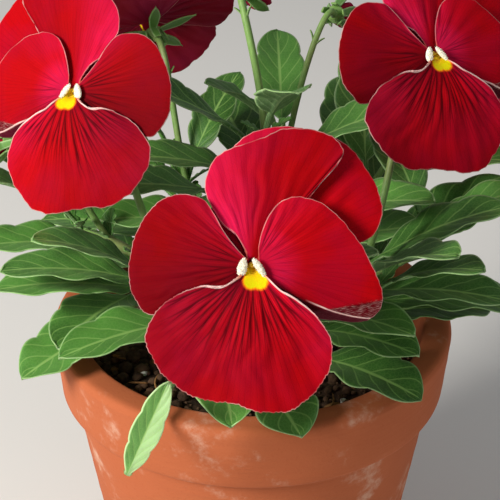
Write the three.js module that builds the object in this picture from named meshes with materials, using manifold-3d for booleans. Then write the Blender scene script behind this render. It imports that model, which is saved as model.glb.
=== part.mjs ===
// A potted pansy: a plain clay pot filled with soil, and one bushy plant of nine leafy stems.
// Five stems carry an open flower each, and three a nodding bud.
// Millimetres, +Z up. The origin is the centre of the pot's base, on the surface that the pot stands on.
import * as THREE from "three";
import { mergeVertices } from "three/addons/utils/BufferGeometryUtils.js";
import Module from "manifold-3d";

const wasm = await Module();
wasm.setup();

// Driving dimensions of the pot and soil.
const POT_HEIGHT = 104;
const POT_BASE_RADIUS = 41;
const POT_RIM_RADIUS = 60;
const POT_WALL = 5;
const RIM_BAND = 22;
const RIM_STEP = 3.5;
const RIM_FLARE = 2;
const POT_SIDES = 30;
const DRAIN_HOLES = 4;
const DRAIN_RADIUS = 4;
const DRAIN_CIRCLE = 22;
const SOIL_LEVEL = 94;
const FIT_GAP = 0.3;
const MERGE_WITHIN = 0.06;

// Driving dimensions of the plant.
const STEM_RADIUS = 1.7;
const STEM_SIDES = 6;
const STEM_STEPS = 6;
const STALK_RADIUS = 1.05;
const STALK_SIDES = 5;
const STALK_STEPS = 8;
const PETIOLE_HALF_WIDTH = 0.9;
const PETIOLE_THICKNESS = 1.2;
const PETIOLE_BEND = 22;
const BLADE_THICKNESS = 0.7;
const PETAL_THICKNESS = 0.72;
const STEM_IN_SOIL = 12;
const LEAF_GAP = 4.2;
const OWN_STEM_REACH = 10;
const UP = new THREE.Vector3(0, 0, 1);

const rad = THREE.MathUtils.degToRad;
const at = (x, y, z) => new THREE.Vector3(x, y, z);
const along = (from, direction, length) => from.clone().addScaledVector(direction, length);
const heading = (azimuth, elevation) => at(
  Math.cos(rad(elevation)) * Math.cos(rad(azimuth)),
  Math.cos(rad(elevation)) * Math.sin(rad(azimuth)),
  Math.sin(rad(elevation)),
);
const smooth = (t) => {
  const c = Math.min(1, Math.max(0, t));
  return c * c * (3 - 2 * c);
};
// A repeatable draw from 0 to 1 for a whole number.
const draw = (n) => {
  const v = Math.sin(n * 12.9898 + 4.1414) * 43758.5453;
  return v - Math.floor(v);
};

// Solids: closed geometry to manifold and back, and their joins.
function solidOf(geometry) {
  const bare = geometry.index ? geometry.toNonIndexed() : geometry.clone();
  bare.deleteAttribute("normal");
  bare.deleteAttribute("uv");
  const merged = mergeVertices(bare, 1e-4);
  const mesh = new wasm.Mesh({
    numProp: 3,
    vertProperties: merged.attributes.position.array,
    triVerts: new Uint32Array(merged.index.array),
  });
  return new wasm.Manifold(mesh);
}

function geometryOf(solid) {
  const mesh = solid.getMesh();
  const geometry = new THREE.BufferGeometry();
  geometry.setAttribute("position", new THREE.BufferAttribute(mesh.vertProperties, 3));
  geometry.setIndex(new THREE.BufferAttribute(mesh.triVerts, 1));
  geometry.computeVertexNormals();
  return geometry;
}

// Joins closed pieces into one body. Loose scraps are dropped, and triangles too fine to see are merged.
function fused(geometries) {
  const joined = geometries.map(solidOf).reduce((sum, piece) => sum.add(piece));
  const bodies = joined.simplify(MERGE_WITHIN).decompose();
  return bodies.reduce((best, body) => (body.volume() > best.volume() ? body : best));
}

// A thin sheet made solid: each point moves half its thickness to both sides along its normal, and both faces
// keep the same triangles, with a rim along every edge that only one triangle uses.
function sheetSolid(points, triangles, thicknesses) {
  const flat = new THREE.BufferGeometry().setFromPoints(points);
  flat.setIndex(triangles.flat());
  flat.computeVertexNormals();
  const normals = points.map((_, i) => new THREE.Vector3().fromBufferAttribute(flat.attributes.normal, i));
  const count = points.length;
  const front = points.map((p, i) => along(p, normals[i], thicknesses[i] / 2));
  const back = points.map((p, i) => along(p, normals[i], -thicknesses[i] / 2));
  const edges = new Map();
  const faces = [];
  for (const [a, b, c] of triangles) {
    faces.push([a, b, c], [c + count, b + count, a + count]);
    for (const [from, to] of [[a, b], [b, c], [c, a]]) {
      if (!edges.delete(`${to}_${from}`)) edges.set(`${from}_${to}`, [from, to]);
    }
  }
  for (const [from, to] of edges.values()) {
    faces.push([to, from, from + count], [to, from + count, to + count]);
  }
  const geometry = new THREE.BufferGeometry().setFromPoints([...front, ...back]);
  geometry.setIndex(faces.flat());
  return geometry;
}

// Triangles between two chains of points with given places along them, stepping along the one that is behind.
function zipped(chain, places, other, otherPlaces) {
  const triangles = [];
  let i = 0;
  let j = 0;
  while (i < chain.length - 1 || j < other.length - 1) {
    const next = i < chain.length - 1 ? places[i + 1] : Infinity;
    const otherNext = j < other.length - 1 ? otherPlaces[j + 1] : Infinity;
    if (next <= otherNext) {
      triangles.push([chain[i], chain[i + 1], other[j]]);
      i += 1;
    } else {
      triangles.push([chain[i], other[j + 1], other[j]]);
      j += 1;
    }
  }
  return triangles.filter((face) => new Set(face).size === 3);
}

// A blade between two margins and a midrib: shape(s, x) is its surface, s from foot to tip and x across.
// margin lists [s, half width], the last of them 0 at the tip, rib lists s, and thickness(s) is the blade's.
function bladeSolid(shape, margin, rib, thickness) {
  const points = [];
  const thicknesses = [];
  const add = (s, x) => {
    thicknesses.push(thickness(s));
    return points.push(shape(s, x)) - 1;
  };
  const middle = rib.map((s) => add(s, 0));
  const places = margin.map(([s]) => s);
  const edge = (side) => margin.map(([s, half]) => (half === 0 ? middle.at(-1) : add(s, side * half)));
  const left = zipped(edge(-1), places, middle, rib).map(([a, b, c]) => [a, c, b]);
  const right = zipped(edge(1), places, middle, rib);
  return sheetSolid(points, [...left, ...right], thicknesses);
}

// A round rod along a curve.
function rod(curve, radius, sides, steps) {
  const section = new THREE.Shape();
  for (let i = 0; i < sides; i += 1) {
    const turn = (2 * Math.PI * i) / sides;
    const [x, y] = [radius * Math.cos(turn), radius * Math.sin(turn)];
    if (i === 0) section.moveTo(x, y);
    else section.lineTo(x, y);
  }
  section.closePath();
  return new THREE.ExtrudeGeometry(section, { steps, extrudePath: curve, curveSegments: 1 });
}

// The pot: one lathe turning with a rim band, and drain holes cut through its base.
const BAND_START = POT_HEIGHT - RIM_BAND;
const NECK_RADIUS = POT_RIM_RADIUS - RIM_FLARE - RIM_STEP;
const innerRadiusAt = (z) => (z < BAND_START
  ? POT_BASE_RADIUS + ((NECK_RADIUS - POT_BASE_RADIUS) * z) / BAND_START - POT_WALL
  : NECK_RADIUS + (RIM_FLARE * (z - BAND_START)) / RIM_BAND - POT_WALL);

function potSolid() {
  const profile = [
    [0, 0],
    [POT_BASE_RADIUS - 1, 0],
    [POT_BASE_RADIUS, 1.2],
    [NECK_RADIUS, BAND_START],
    [POT_RIM_RADIUS - RIM_FLARE, BAND_START + 0.8],
    [POT_RIM_RADIUS, POT_HEIGHT - 1.6],
    [POT_RIM_RADIUS - 1.4, POT_HEIGHT],
    [innerRadiusAt(POT_HEIGHT), POT_HEIGHT],
    [innerRadiusAt(BAND_START), BAND_START],
    [innerRadiusAt(POT_WALL), POT_WALL],
    [0, POT_WALL],
  ];
  const turned = new THREE.LatheGeometry(profile.map(([r, z]) => new THREE.Vector2(r, z)), POT_SIDES);
  turned.rotateX(Math.PI / 2);
  let pot = solidOf(turned);
  for (let i = 0; i < DRAIN_HOLES; i += 1) {
    const hole = new THREE.CylinderGeometry(DRAIN_RADIUS, DRAIN_RADIUS, 3 * POT_WALL, 8);
    hole.rotateX(Math.PI / 2);
    const turn = (2 * Math.PI * (i + 0.5)) / DRAIN_HOLES;
    hole.translate(DRAIN_CIRCLE * Math.cos(turn), DRAIN_CIRCLE * Math.sin(turn), 0);
    pot = pot.subtract(solidOf(hole));
  }
  return pot;
}

// The soil fills the pot, with a low uneven crown, and each stem stands in a plain hole in it.
const soilHeightAt = (x, y) => {
  const r = Math.hypot(x, y) / innerRadiusAt(SOIL_LEVEL);
  return SOIL_LEVEL + 3 * (1 - r * r) + 0.9 * Math.sin(0.19 * x + 1.3) * Math.cos(0.23 * y - 0.4);
};

function soilSolid(stems) {
  const rings = [0.35, 0.72];
  const rim = innerRadiusAt(SOIL_LEVEL) - FIT_GAP;
  const points = [at(0, 0, soilHeightAt(0, 0))];
  const triangles = [];
  const ring = (radius, height) => {
    const first = points.length;
    for (let i = 0; i < POT_SIDES; i += 1) {
      const turn = (2 * Math.PI * i) / POT_SIDES;
      const [x, y] = [radius * Math.sin(turn), radius * Math.cos(turn)];
      points.push(at(x, y, height ?? soilHeightAt(x, y)));
    }
    return first;
  };
  const floor = POT_WALL + FIT_GAP;
  const starts = [
    ...rings.map((share) => ring(share * rim)),
    ring(rim, SOIL_LEVEL),
    ring(innerRadiusAt(BAND_START) - FIT_GAP, BAND_START),
    ring(innerRadiusAt(floor) - FIT_GAP, floor),
  ];
  points.push(at(0, 0, floor));
  for (let i = 0; i < POT_SIDES; i += 1) {
    const next = (i + 1) % POT_SIDES;
    triangles.push([0, starts[0] + next, starts[0] + i]);
    starts.slice(1).forEach((start, k) => {
      triangles.push([starts[k] + i, starts[k] + next, start + next]);
      triangles.push([starts[k] + i, start + next, start + i]);
    });
    triangles.push([starts.at(-1) + i, starts.at(-1) + next, points.length - 1]);
  }
  const geometry = new THREE.BufferGeometry().setFromPoints(points);
  geometry.setIndex(triangles.flat());
  let soil = solidOf(geometry);
  for (const stem of stems) {
    const hole = rod(stem.curve, STEM_RADIUS + FIT_GAP + 0.1, STEM_SIDES, STEM_STEPS);
    hole.translate(0, 0, -FIT_GAP);
    soil = soil.subtract(solidOf(hole));
  }
  return soil;
}

// Petals, in a flower's own frame: x to the viewer's right, y up, z towards the viewer, origin in the throat.
// Each starts on a short arc round the throat, from one angle to another, and ends at a margin through [x, y]
// points. Depths grow towards the viewer: root is a petal's depth at the throat, level its depth over the
// flower's face, bow how far its far end leans back, swell how far it bulges forward near the throat, and
// ruffle the height of its edge waves. Hug says how far the line from the throat to each margin point bends
// towards the petal's middle, so that it stays inside a margin that curves in.
const THROAT = new THREE.Vector2(0, 0.5);
const THROAT_ARC = 2.1;
const FACE_RADIUS = 35;
const PETALS = [
  {
    name: "upper_back", arc: [136, 38], root: -4.7, level: -5.2, bow: 4.4, swell: 0, ruffle: 0.6, waves: 3,
    margin: [[-3.8, 4.1], [-9.3, 10.8], [-9.7, 14], [-9.8, 20.4], [-6.8, 28], [-2, 33.4], [6, 35.9],
      [15.4, 34.9], [23.6, 31.6], [28.7, 25.6], [32.1, 19.2], [32.8, 13.2], [30, 7.8], [23, 5.2], [12, 4.2],
      [2.6, 2.9]],
    hug: [0, 0, 0, 0, 0, 0, 0, 0, 0, 0, 0, 0, -0.6, -0.9, -0.5, 0],
  },
  {
    name: "upper_front", arc: [138, 52], root: -3.4, level: -3.5, bow: 4.1, swell: 0, ruffle: 0.5, waves: 3,
    margin: [[-1.7, 4], [-4.5, 8.6], [-7.3, 10.7], [-9.7, 14.2], [-12, 19], [-11.4, 24.3], [-8.5, 28.7],
      [-3.2, 31], [2.2, 32.8], [7.7, 35.2], [14.7, 35.1], [20, 33.4], [22.9, 30], [21.6, 26.4], [17.4, 21.6],
      [11.7, 14.5], [6, 8.5], [2, 4.3]],
    hug: [0, 0.8, 1.7, 1.9, 1.7, 1.4, 1, 0.6, 0.3, 0, 0, 0, -0.2, -0.4, -0.7, -0.9, -0.7, 0],
  },
  {
    name: "left", arc: [222, 130], root: -2.2, level: -1.8, bow: 3, swell: 0, ruffle: 0.45, waves: 2,
    margin: [[-3.5, -2.6], [-10, -7.2], [-19.5, -10.6], [-26, -11.8], [-29, -9], [-31, -4.5], [-31.2, 1],
      [-30, 7], [-27.6, 12.2], [-24, 16.4], [-19, 18.5], [-13, 17.5], [-10, 14], [-6.9, 8.6], [-3, 3.7]],
    hug: [0, 0, 0, 0, 0, 0, 0, 0, -0.2, -0.5, -0.8, -1.1, -1.2, -0.9, 0],
  },
  {
    name: "right", arc: [-48, 48], root: -2.2, level: -1.8, bow: 2.6, swell: 0, ruffle: 0.4, waves: 2,
    margin: [[4, -3.4], [8, -6.6], [12, -9.7], [16.4, -12.7], [22, -13.4], [26.4, -13.9], [30.2, -12.8],
      [32.6, -9.4], [32.2, -4.6], [30.2, 0], [27.4, 5.5], [22.8, 11.5], [18, 15.8], [12.4, 17.8], [7.8, 17.1],
      [4.5, 14], [2.2, 9], [1.3, 5]],
    hug: [0],
  },
  {
    name: "lower", arc: [208, 330], root: -1.1, level: 0.1, bow: 3.8, swell: 1.2, ruffle: 0.8, waves: 4,
    margin: [[-3.5, -2.2], [-8.2, -4.7], [-12.4, -4.4], [-16.8, -5.7], [-22.6, -9.2], [-27, -16.4],
      [-24.8, -23.6], [-20.4, -29], [-13.6, -33], [-6, -34], [2.2, -36.2], [9.6, -35.8], [15.2, -31.6],
      [19, -26.1], [19.8, -19], [16.4, -12.6], [11.2, -8], [7, -5.5], [4, -2.6]],
    hug: [0, 0.8, 2.4, 3.1, 2.9, 2.2, 1.3, 0.5, 0, 0, 0, 0, 0, -0.3, -0.8, -1.2, -1.2, -0.6, 0],
  },
];

// The place at u, from 0 to 1, on a cubic through a list of points.
function curveAt(points, u) {
  const place = Math.min(u * (points.length - 1), Math.max(0, points.length - 1 - 1e-9));
  const i = Math.floor(place);
  const t = place - i;
  const pick = (k) => points[Math.min(points.length - 1, Math.max(0, k))];
  const [a, b, c, d] = [pick(i - 1), pick(i), pick(i + 1), pick(i + 2)];
  const axis = (k) => 0.5 * (2 * b[k] + (c[k] - a[k]) * t + (2 * a[k] - 5 * b[k] + 4 * c[k] - d[k]) * t * t
    + (3 * b[k] - a[k] - 3 * c[k] + d[k]) * t * t * t);
  return new THREE.Vector2(axis(0), axis(1));
}

// The right petal's lower outer corner is folded back along a line that rises slowly to the right, and its whole
// lower edge turns under along a curve, which starts at a slope and levels out by its bend.
const FOLD = { x: 17, y: -10.4, slope: 0.17, steepness: 1.15 };
const CREASE = { x: 4, y: -2.5, slope: -0.58, bend: 0.0113, span: 10, steepness: 0.9 };
function foldBack(petal, flat) {
  if (petal.name !== "right") return 0;
  const below = FOLD.y + FOLD.slope * (flat.x - FOLD.x) - flat.y;
  const run = flat.x - CREASE.x;
  const under = CREASE.y + CREASE.slope * run + CREASE.bend * run * (run - CREASE.span) - flat.y;
  return FOLD.steepness * Math.max(0, below) + CREASE.steepness * Math.max(0, under);
}

function petalPoint(petal, u, v) {
  const turn = rad(petal.arc[0] + (petal.arc[1] - petal.arc[0]) * u);
  const inner = new THREE.Vector2(Math.cos(turn), Math.sin(turn)).multiplyScalar(THROAT_ARC).add(THROAT);
  const ray = curveAt(petal.margin, u).sub(inner);
  const aside = new THREE.Vector2(-ray.y, ray.x).normalize();
  const bend = curveAt(petal.hug.map((h) => [h, 0]), u).x * Math.sign(petal.arc[1] - petal.arc[0]);
  const flat = inner.clone().addScaledVector(ray, v).addScaledVector(aside, bend * Math.sin(Math.PI * v ** 0.8));
  const fromThroat = flat.distanceTo(inner);
  const reach = flat.length() / FACE_RADIUS;
  const z = petal.root + (petal.level - petal.root) * smooth(fromThroat / 5)
    - petal.bow * reach * reach
    + petal.swell * Math.sin(Math.PI * Math.min(1, fromThroat / 24))
    + petal.ruffle * v ** 3 * Math.sin(Math.PI * u) * Math.sin(2 * Math.PI * petal.waves * u)
    - foldBack(petal, flat);
  return at(flat.x, flat.y, z);
}

// A petal from rows of points across it, from the throat outwards: columns lists how many steps each row has.
function petalSolid(petal, columns) {
  const points = [];
  const rows = columns.map((count, j) => {
    const v = (j / (columns.length - 1)) ** 0.9;
    return Array.from({ length: count + 1 }, (_, i) => points.push(petalPoint(petal, i / count, v)) - 1);
  });
  const places = columns.map((count) => Array.from({ length: count + 1 }, (_, i) => i / count));
  const triangles = rows.slice(1).flatMap((row, j) => zipped(row, places[j + 1], rows[j], places[j]));
  // Petals whose arc runs clockwise are turned over, so that every front faces the viewer.
  const faces = petal.arc[1] > petal.arc[0] ? triangles : triangles.map(([a, b, c]) => [a, c, b]);
  return sheetSolid(points, faces, points.map(() => PETAL_THICKNESS));
}

// The cup that the petals' claws make round the throat, open in front for the pistil, and the spur behind it.
function throatSolid() {
  const profile = [[0, -7.3], [2.7, -7.3], [3, -0.8], [1.75, -1.2], [1.45, -6.6], [0, -6.6]];
  const cup = new THREE.LatheGeometry(profile.map(([r, z]) => new THREE.Vector2(r, z)), 8);
  cup.rotateX(Math.PI / 2);
  cup.translate(THROAT.x, THROAT.y, 0);
  return cup;
}

function spurSolid() {
  const line = new THREE.QuadraticBezierCurve3(at(0, -1.5, -4), at(0, -5.7, -6.3), at(0, -6.5, -14));
  return rod(line, 1.25, 5, 3);
}

// A pad of short hairs beside the throat on each side petal.
function beardSolid(x, y, tilt, halfWidth, halfLength) {
  const pad = new THREE.SphereGeometry(1, 6, 3);
  pad.scale(halfWidth, halfLength, 1.2);
  pad.rotateZ(rad(tilt));
  pad.translate(x, y, -0.5);
  return pad;
}

function corollaSolid(columns) {
  return fused([
    throatSolid(),
    spurSolid(),
    ...PETALS.map((petal) => petalSolid(petal, columns)),
    beardSolid(-2.5, 0.35, -14, 1, 2.45),
    beardSolid(1.6, 0.05, 33, 0.8, 2.9),
  ]);
}

function pistilGeometry() {
  const profile = [[0, -6.3], [0.9, -6.3], [0.5, -3.4], [0.75, -2.5], [0, -2]];
  const pistil = new THREE.LatheGeometry(profile.map(([r, z]) => new THREE.Vector2(r, z)), 6);
  pistil.rotateX(Math.PI / 2);
  pistil.translate(-0.2, 0.7, 0);
  return pistil;
}

// The green back of a flower: a receptacle, and five sepals that each run from a small ear behind the
// receptacle out along the back of the petals.
const SEPAL_TURNS = [90, 18, 315, 225, 162];
const SEPAL_REACH = 16;
const sepalPoint = (turn, s, x) => {
  const ear = Math.max(0, 0.3 - s) / 0.3;
  const r = s < 0.3 ? 2.9 + 1.1 * ear : 2.9 + ((SEPAL_REACH - 2.9) * (s - 0.3)) / 0.7;
  const z = s < 0.3 ? -8.1 - 4.6 * ear : -8.1 - 4.4 * (r / FACE_RADIUS) ** 2;
  const [cos, sin] = [Math.cos(rad(turn)), Math.sin(rad(turn))];
  return at(r * cos - x * sin, r * sin + x * cos + THROAT.y, z - 0.08 * x * x);
};

function calyxPieces() {
  const receptacle = new THREE.CylinderGeometry(3.4, 1.6, 3.2, 7);
  receptacle.rotateX(Math.PI / 2);
  receptacle.translate(THROAT.x, THROAT.y, -9.3);
  const margin = [[0, 1.3], [0.32, 1.2], [0.68, 2.1], [1, 0]];
  const sepals = SEPAL_TURNS.map((turn) => bladeSolid(
    (s, x) => sepalPoint(turn, s, x), margin, [0, 0.32, 1], () => BLADE_THICKNESS,
  ));
  return [receptacle, ...sepals];
}

// A furled bud: a pointed egg of twisted petals in a closed calyx, in a frame with z towards its tip.
const BUD_LENGTH = 15;
function budCorolla() {
  const profile = [[0, 0.2], [1.9, 0.2], [3.3, 3.4], [3.9, 7], [3, 11.4], [1.3, 14.2], [0, BUD_LENGTH]];
  const bud = new THREE.LatheGeometry(profile.map(([r, z]) => new THREE.Vector2(r, z)), 10);
  bud.rotateX(Math.PI / 2);
  const place = bud.attributes.position;
  for (let i = 0; i < place.count; i += 1) {
    const [x, y, z] = [place.getX(i), place.getY(i), place.getZ(i)];
    const turn = Math.atan2(y, x);
    const pleat = 1 - 0.13 * Math.cos(5 * turn - 0.25 * z) * smooth((z - 3.4) / 4);
    place.setXY(i, x * pleat, y * pleat);
  }
  return solidOf(bud);
}

const budSepalPoint = (turn, s, x) => {
  const ear = Math.max(0, 0.25 - s) / 0.25;
  const z = s < 0.25 ? 0.2 - 4 * ear : 0.2 + (10 * (s - 0.25)) / 0.75;
  const r = s < 0.25 ? 2.6 + 0.9 * ear : 2.6 + 2.5 * Math.sin(Math.PI * 0.62 * ((s - 0.25) / 0.75));
  const [cos, sin] = [Math.cos(rad(turn)), Math.sin(rad(turn))];
  return at(r * cos - x * sin, r * sin + x * cos, z);
};

function budCalyxPieces() {
  const receptacle = new THREE.CylinderGeometry(3, 1.5, 2.4, 7);
  receptacle.rotateX(Math.PI / 2);
  receptacle.translate(0, 0, -1.4);
  const margin = [[0, 1], [0.28, 1.1], [0.65, 1.6], [1, 0]];
  const sepals = SEPAL_TURNS.map((turn) => bladeSolid(
    (s, x) => budSepalPoint(turn, s, x), margin, [0, 0.28, 0.65, 1], () => BLADE_THICKNESS,
  ));
  return [receptacle, ...sepals];
}

// Leafy stems. azimuth is where each leans, start and reach how far from the pot's axis it leaves the soil
// and ends, rise how high its tip stands over the soil, and leaves how many it has.
const STEMS = [
  { azimuth: -88, start: 15, reach: 44, rise: 34, leaves: 6 },
  { azimuth: -124, start: 16, reach: 48, rise: 40, leaves: 6, risingLeaf: true },
  { azimuth: -50, start: 16, reach: 50, rise: 40, leaves: 6 },
  { azimuth: -8, start: 16, reach: 52, rise: 36, leaves: 6 },
  { azimuth: 34, start: 16, reach: 50, rise: 38, leaves: 6 },
  { azimuth: 76, start: 15, reach: 48, rise: 42, leaves: 6 },
  { azimuth: 120, start: 16, reach: 50, rise: 38, leaves: 6 },
  { azimuth: 172, start: 16, reach: 52, rise: 36, leaves: 6 },
  { azimuth: -70, start: 3, reach: 10, rise: 74, leaves: 6 },
];

// Open flowers: place is the throat, facing its direction as azimuth and elevation, roll a turn about that
// direction, and from the share of its stem's length at which its stalk leaves.
const FLOWERS = [
  { name: "flower_1", stem: 0, from: 0.86, place: [0, -75, 165], facing: [-90, 30], roll: 0, size: 1,
    fine: true },
  { name: "flower_2", stem: 1, from: 0.8, place: [-49, -25, 190], facing: [-115, 30], roll: 8, size: 0.9,
    mirror: true },
  { name: "flower_3", stem: 2, from: 0.85, place: [50, -14, 196], facing: [-62, 36], roll: -6, size: 0.9 },
  { name: "flower_4", stem: 4, from: 0.8, place: [72, 40, 164], facing: [26, 28], roll: 5, size: 0.88,
    mirror: true },
  { name: "flower_5", stem: 6, from: 0.8, place: [-34, 66, 174], facing: [116, 30], roll: -8, size: 0.92 },
];

const BUDS = [
  { name: "bud_1", stem: 8, from: 0.94, place: [-2, 12, 204], facing: [60, -28] },
  { name: "bud_2", stem: 5, from: 0.85, place: [26, 62, 176], facing: [70, -20] },
  { name: "bud_3", stem: 7, from: 0.85, place: [-72, 12, 156], facing: [170, -24] },
];

function frameOf({ place, facing, roll = 0 }) {
  const forward = heading(...facing);
  const right = UP.clone().cross(forward).normalize();
  const up = forward.clone().cross(right);
  const turned = new THREE.Matrix4().makeBasis(right, up, forward);
  turned.multiply(new THREE.Matrix4().makeRotationZ(rad(roll)));
  return turned.setPosition(...place);
}

function stemCurve({ azimuth, start, reach, rise }) {
  const out = heading(azimuth, 0);
  return new THREE.QuadraticBezierCurve3(
    along(out.clone().multiplyScalar(start), UP, SOIL_LEVEL - STEM_IN_SOIL),
    along(out.clone().multiplyScalar(start + 0.12 * (reach - start)), UP, SOIL_LEVEL + 0.75 * rise),
    along(out.clone().multiplyScalar(reach), UP, SOIL_LEVEL + rise),
  );
}

// A stalk leaves its stem upwards, and hooks over at the top into the back of its flower or bud.
function stalkCurve(stem, from, frame, backZ, hook) {
  const start = stem.curve.getPoint(from);
  const end = at(0, THROAT.y * (backZ < -5 ? 1 : 0), backZ).applyMatrix4(frame);
  const forward = at(0, 0, 1).transformDirection(frame);
  const leave = stem.curve.getTangent(from).add(UP).normalize();
  const arrive = along(end, forward, -hook);
  arrive.addScaledVector(UP, 0.8 * hook);
  return new THREE.CubicBezierCurve3(start, along(start, leave, 0.45 * start.distanceTo(end)), arrive, end);
}

// Leaves. Each is one sheet: s from -1 to 0 is its winged petiole and from 0 to 1 its blade, which runs along
// forward, droops with the square of its length and folds up from its rib. The margin has blunt teeth.
const LEAF_TEETH = 3;
const leafHalfWidth = (s) => 2.2 * s ** 0.6 * (1 - s) ** 0.55;
const leafThickness = (s) => (s < 0 ? PETIOLE_THICKNESS : BLADE_THICKNESS);

function leafMargin(leaf) {
  const edge = leaf.petioleSteps.map((s) => [s, PETIOLE_HALF_WIDTH]);
  for (let k = 1; k < 2 * LEAF_TEETH; k += 1) {
    const s = k / (2 * LEAF_TEETH);
    edge.push([s, leaf.half * leafHalfWidth(s) * (k % 2 ? 1 : 0.84)]);
  }
  return [...edge, [1, 0]];
}

function leafPoint(leaf, s, x) {
  if (s < 0) return leaf.petiole.getPoint(1 + s).addScaledVector(leaf.right, x);
  return along(leaf.base, leaf.forward, leaf.length * s)
    .addScaledVector(leaf.right, x)
    .addScaledVector(leaf.normal, leaf.fold * Math.abs(x) * smooth(4 * s) - leaf.droop * leaf.length * s * s);
}

// A leaf whose petiole runs from start, bends near a point and reaches the blade's base. The blade then runs
// along forward, with its upper face turned to facing.
function makeLeaf({ start, bend, base, forward, facing = UP, length, half }) {
  const right = forward.clone().cross(facing).normalize();
  const normal = right.clone().cross(forward).normalize();
  const petiole = new THREE.QuadraticBezierCurve3(start, bend, base);
  const petioleSteps = petiole.getLength() > 14 ? [-1, -0.66, -0.33, 0] : [-1, -0.5, 0];
  const [fold, droop] = [0.28, 0.22];
  return { start, base, petiole, petioleSteps, forward, right, normal, length, half, fold, droop };
}

function leafPiece(leaf) {
  const rib = [...leaf.petioleSteps, 0.33, 0.67, 1];
  return bladeSolid((s, x) => leafPoint(leaf, s, x), leafMargin(leaf), rib, leafThickness);
}

// Room already taken: points on what stands, each with the number of the stem that it belongs to.
const taken = [];
const take = (points, owner) => points.forEach((point) => taken.push({ point, owner }));

const leafSamples = (leaf) => {
  const found = [];
  for (const s of [0.02, 0.2, 0.4, 0.6, 0.8, 1]) {
    const half = leaf.half * leafHalfWidth(s);
    for (const share of [-1, -0.5, 0, 0.5, 1]) found.push(leafPoint(leaf, s, share * half));
  }
  for (const t of [0.35, 0.65]) found.push(leaf.start.clone().lerp(leaf.base, t));
  return found;
};

// The lowest that a leaf may hang at a distance from the pot's axis: over the soil, over the rim or outside.
function lowestLeafAt(radius) {
  if (radius < innerRadiusAt(POT_HEIGHT) - 6) return SOIL_LEVEL + 4.5;
  return radius < POT_RIM_RADIUS + 5 ? POT_HEIGHT + 3 : POT_HEIGHT - RIM_BAND - 7;
}

// Whether a point lies among a flower's petals or close in front of them.
function hidesFlower(point, flower) {
  const seen = point.clone().applyMatrix4(flower.inverse);
  const across = Math.hypot(seen.x, seen.y);
  return seen.z > -13 * flower.size && seen.z < 2 * FACE_RADIUS && across < 37 * flower.size;
}

// A leaf is clear if it keeps LEAF_GAP from everything but its own foot, stays off the pot and the soil, and
// hides no open flower.
function isClear(leaf, owner, flowers) {
  for (const point of leafSamples(leaf)) {
    if (point.z < lowestLeafAt(Math.hypot(point.x, point.y))) return false;
    if (flowers.some((flower) => hidesFlower(point, flower))) return false;
    const byItsFoot = point.distanceTo(leaf.start) < OWN_STEM_REACH;
    for (const other of taken) {
      if (byItsFoot && other.owner === owner) continue;
      if (point.distanceTo(other.point) < LEAF_GAP) return false;
    }
  }
  return true;
}

// The turns and lifts, in degrees, and length shares that a leaf tries in order until it is clear.
const TURN_TRIES = [0, 16, -16, 34, -34, 55, -55, 80, -80, 110, -110, 145];
const LIFT_TRIES = [0, 14, -12, 28];
const SIZE_TRIES = [1, 0.8];

// The k-th leaf of a stem as it would grow with all the room it wants. Leaves alternate from side to side up
// the stem, the lowest turned to the pot's middle. Lower ones are broad on long petioles, upper ones slim.
function wantedLeaf(stem, number, k) {
  const share = k / (stem.leaves - 1);
  const seed = 10 * number + k;
  const side = k % 2 ? 1 : -1;
  return {
    start: stem.curve.getPoint(0.27 + 0.73 * share),
    turn: stem.azimuth + 78 * side * (1 - 0.62 * share) + 40 * (draw(seed) - 0.5) + (k === 0 ? 150 : 0),
    lift: 4 + 42 * share + 14 * (draw(seed + 0.3) - 0.5),
    petiole: 21 - 11 * share + 5 * draw(seed + 0.5),
    length: 27 + 9 * Math.sin(Math.PI * share) + 6 * draw(seed + 0.7),
    half: 10.4 - 3 * share + draw(seed + 0.9),
  };
}

// The first leaf that is clear, of those that turn or lift away from the wanted one, or are smaller.
function fittedLeaf(wanted, number, flowers) {
  for (const size of SIZE_TRIES) {
    for (const lift of LIFT_TRIES) {
      for (const aside of TURN_TRIES) {
        const { start } = wanted;
        const leave = heading(wanted.turn + aside, wanted.lift + lift + PETIOLE_BEND);
        const forward = heading(wanted.turn + aside, wanted.lift + lift);
        const bend = along(start, leave, 0.55 * wanted.petiole * size);
        const base = along(bend, forward, 0.55 * wanted.petiole * size);
        const [length, half] = [wanted.length * size, wanted.half * size];
        const leaf = makeLeaf({ start, bend, base, forward, length, half });
        if (isClear(leaf, number, flowers)) return leaf;
      }
    }
  }
  return null;
}

// The long-stalked narrow leaf that stands up beside the first flower and faces the same way.
function risingLeaf(stem) {
  const tip = at(-23, -85.1, 133.5);
  const forward = heading(-18, 69);
  const base = along(tip, forward, -28);
  const bend = along(base, forward, -8);
  const start = stem.curve.getPoint(0.5);
  return makeLeaf({ start, bend, base, forward, facing: heading(-90, 30), length: 28, half: 4 });
}

function growLeaves(stem, number, flowers) {
  const pieces = [];
  if (stem.risingLeaf) {
    const leaf = risingLeaf(stem);
    take(leafSamples(leaf), number);
    pieces.push(leafPiece(leaf));
  }
  for (let k = 0; k < stem.leaves; k += 1) {
    const leaf = fittedLeaf(wantedLeaf(stem, number, k), number, flowers);
    if (!leaf) continue;
    take(leafSamples(leaf), number);
    pieces.push(leafPiece(leaf));
  }
  return pieces;
}

// Pieces moved by a matrix, with their faces turned back where it mirrors.
function movedBy(pieces, matrix) {
  return pieces.map((piece) => {
    const moved = piece.clone().applyMatrix4(matrix);
    const order = moved.index.array;
    for (let i = 0; matrix.determinant() < 0 && i < order.length; i += 3) {
      [order[i + 1], order[i + 2]] = [order[i + 2], order[i + 1]];
    }
    return moved;
  });
}

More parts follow.
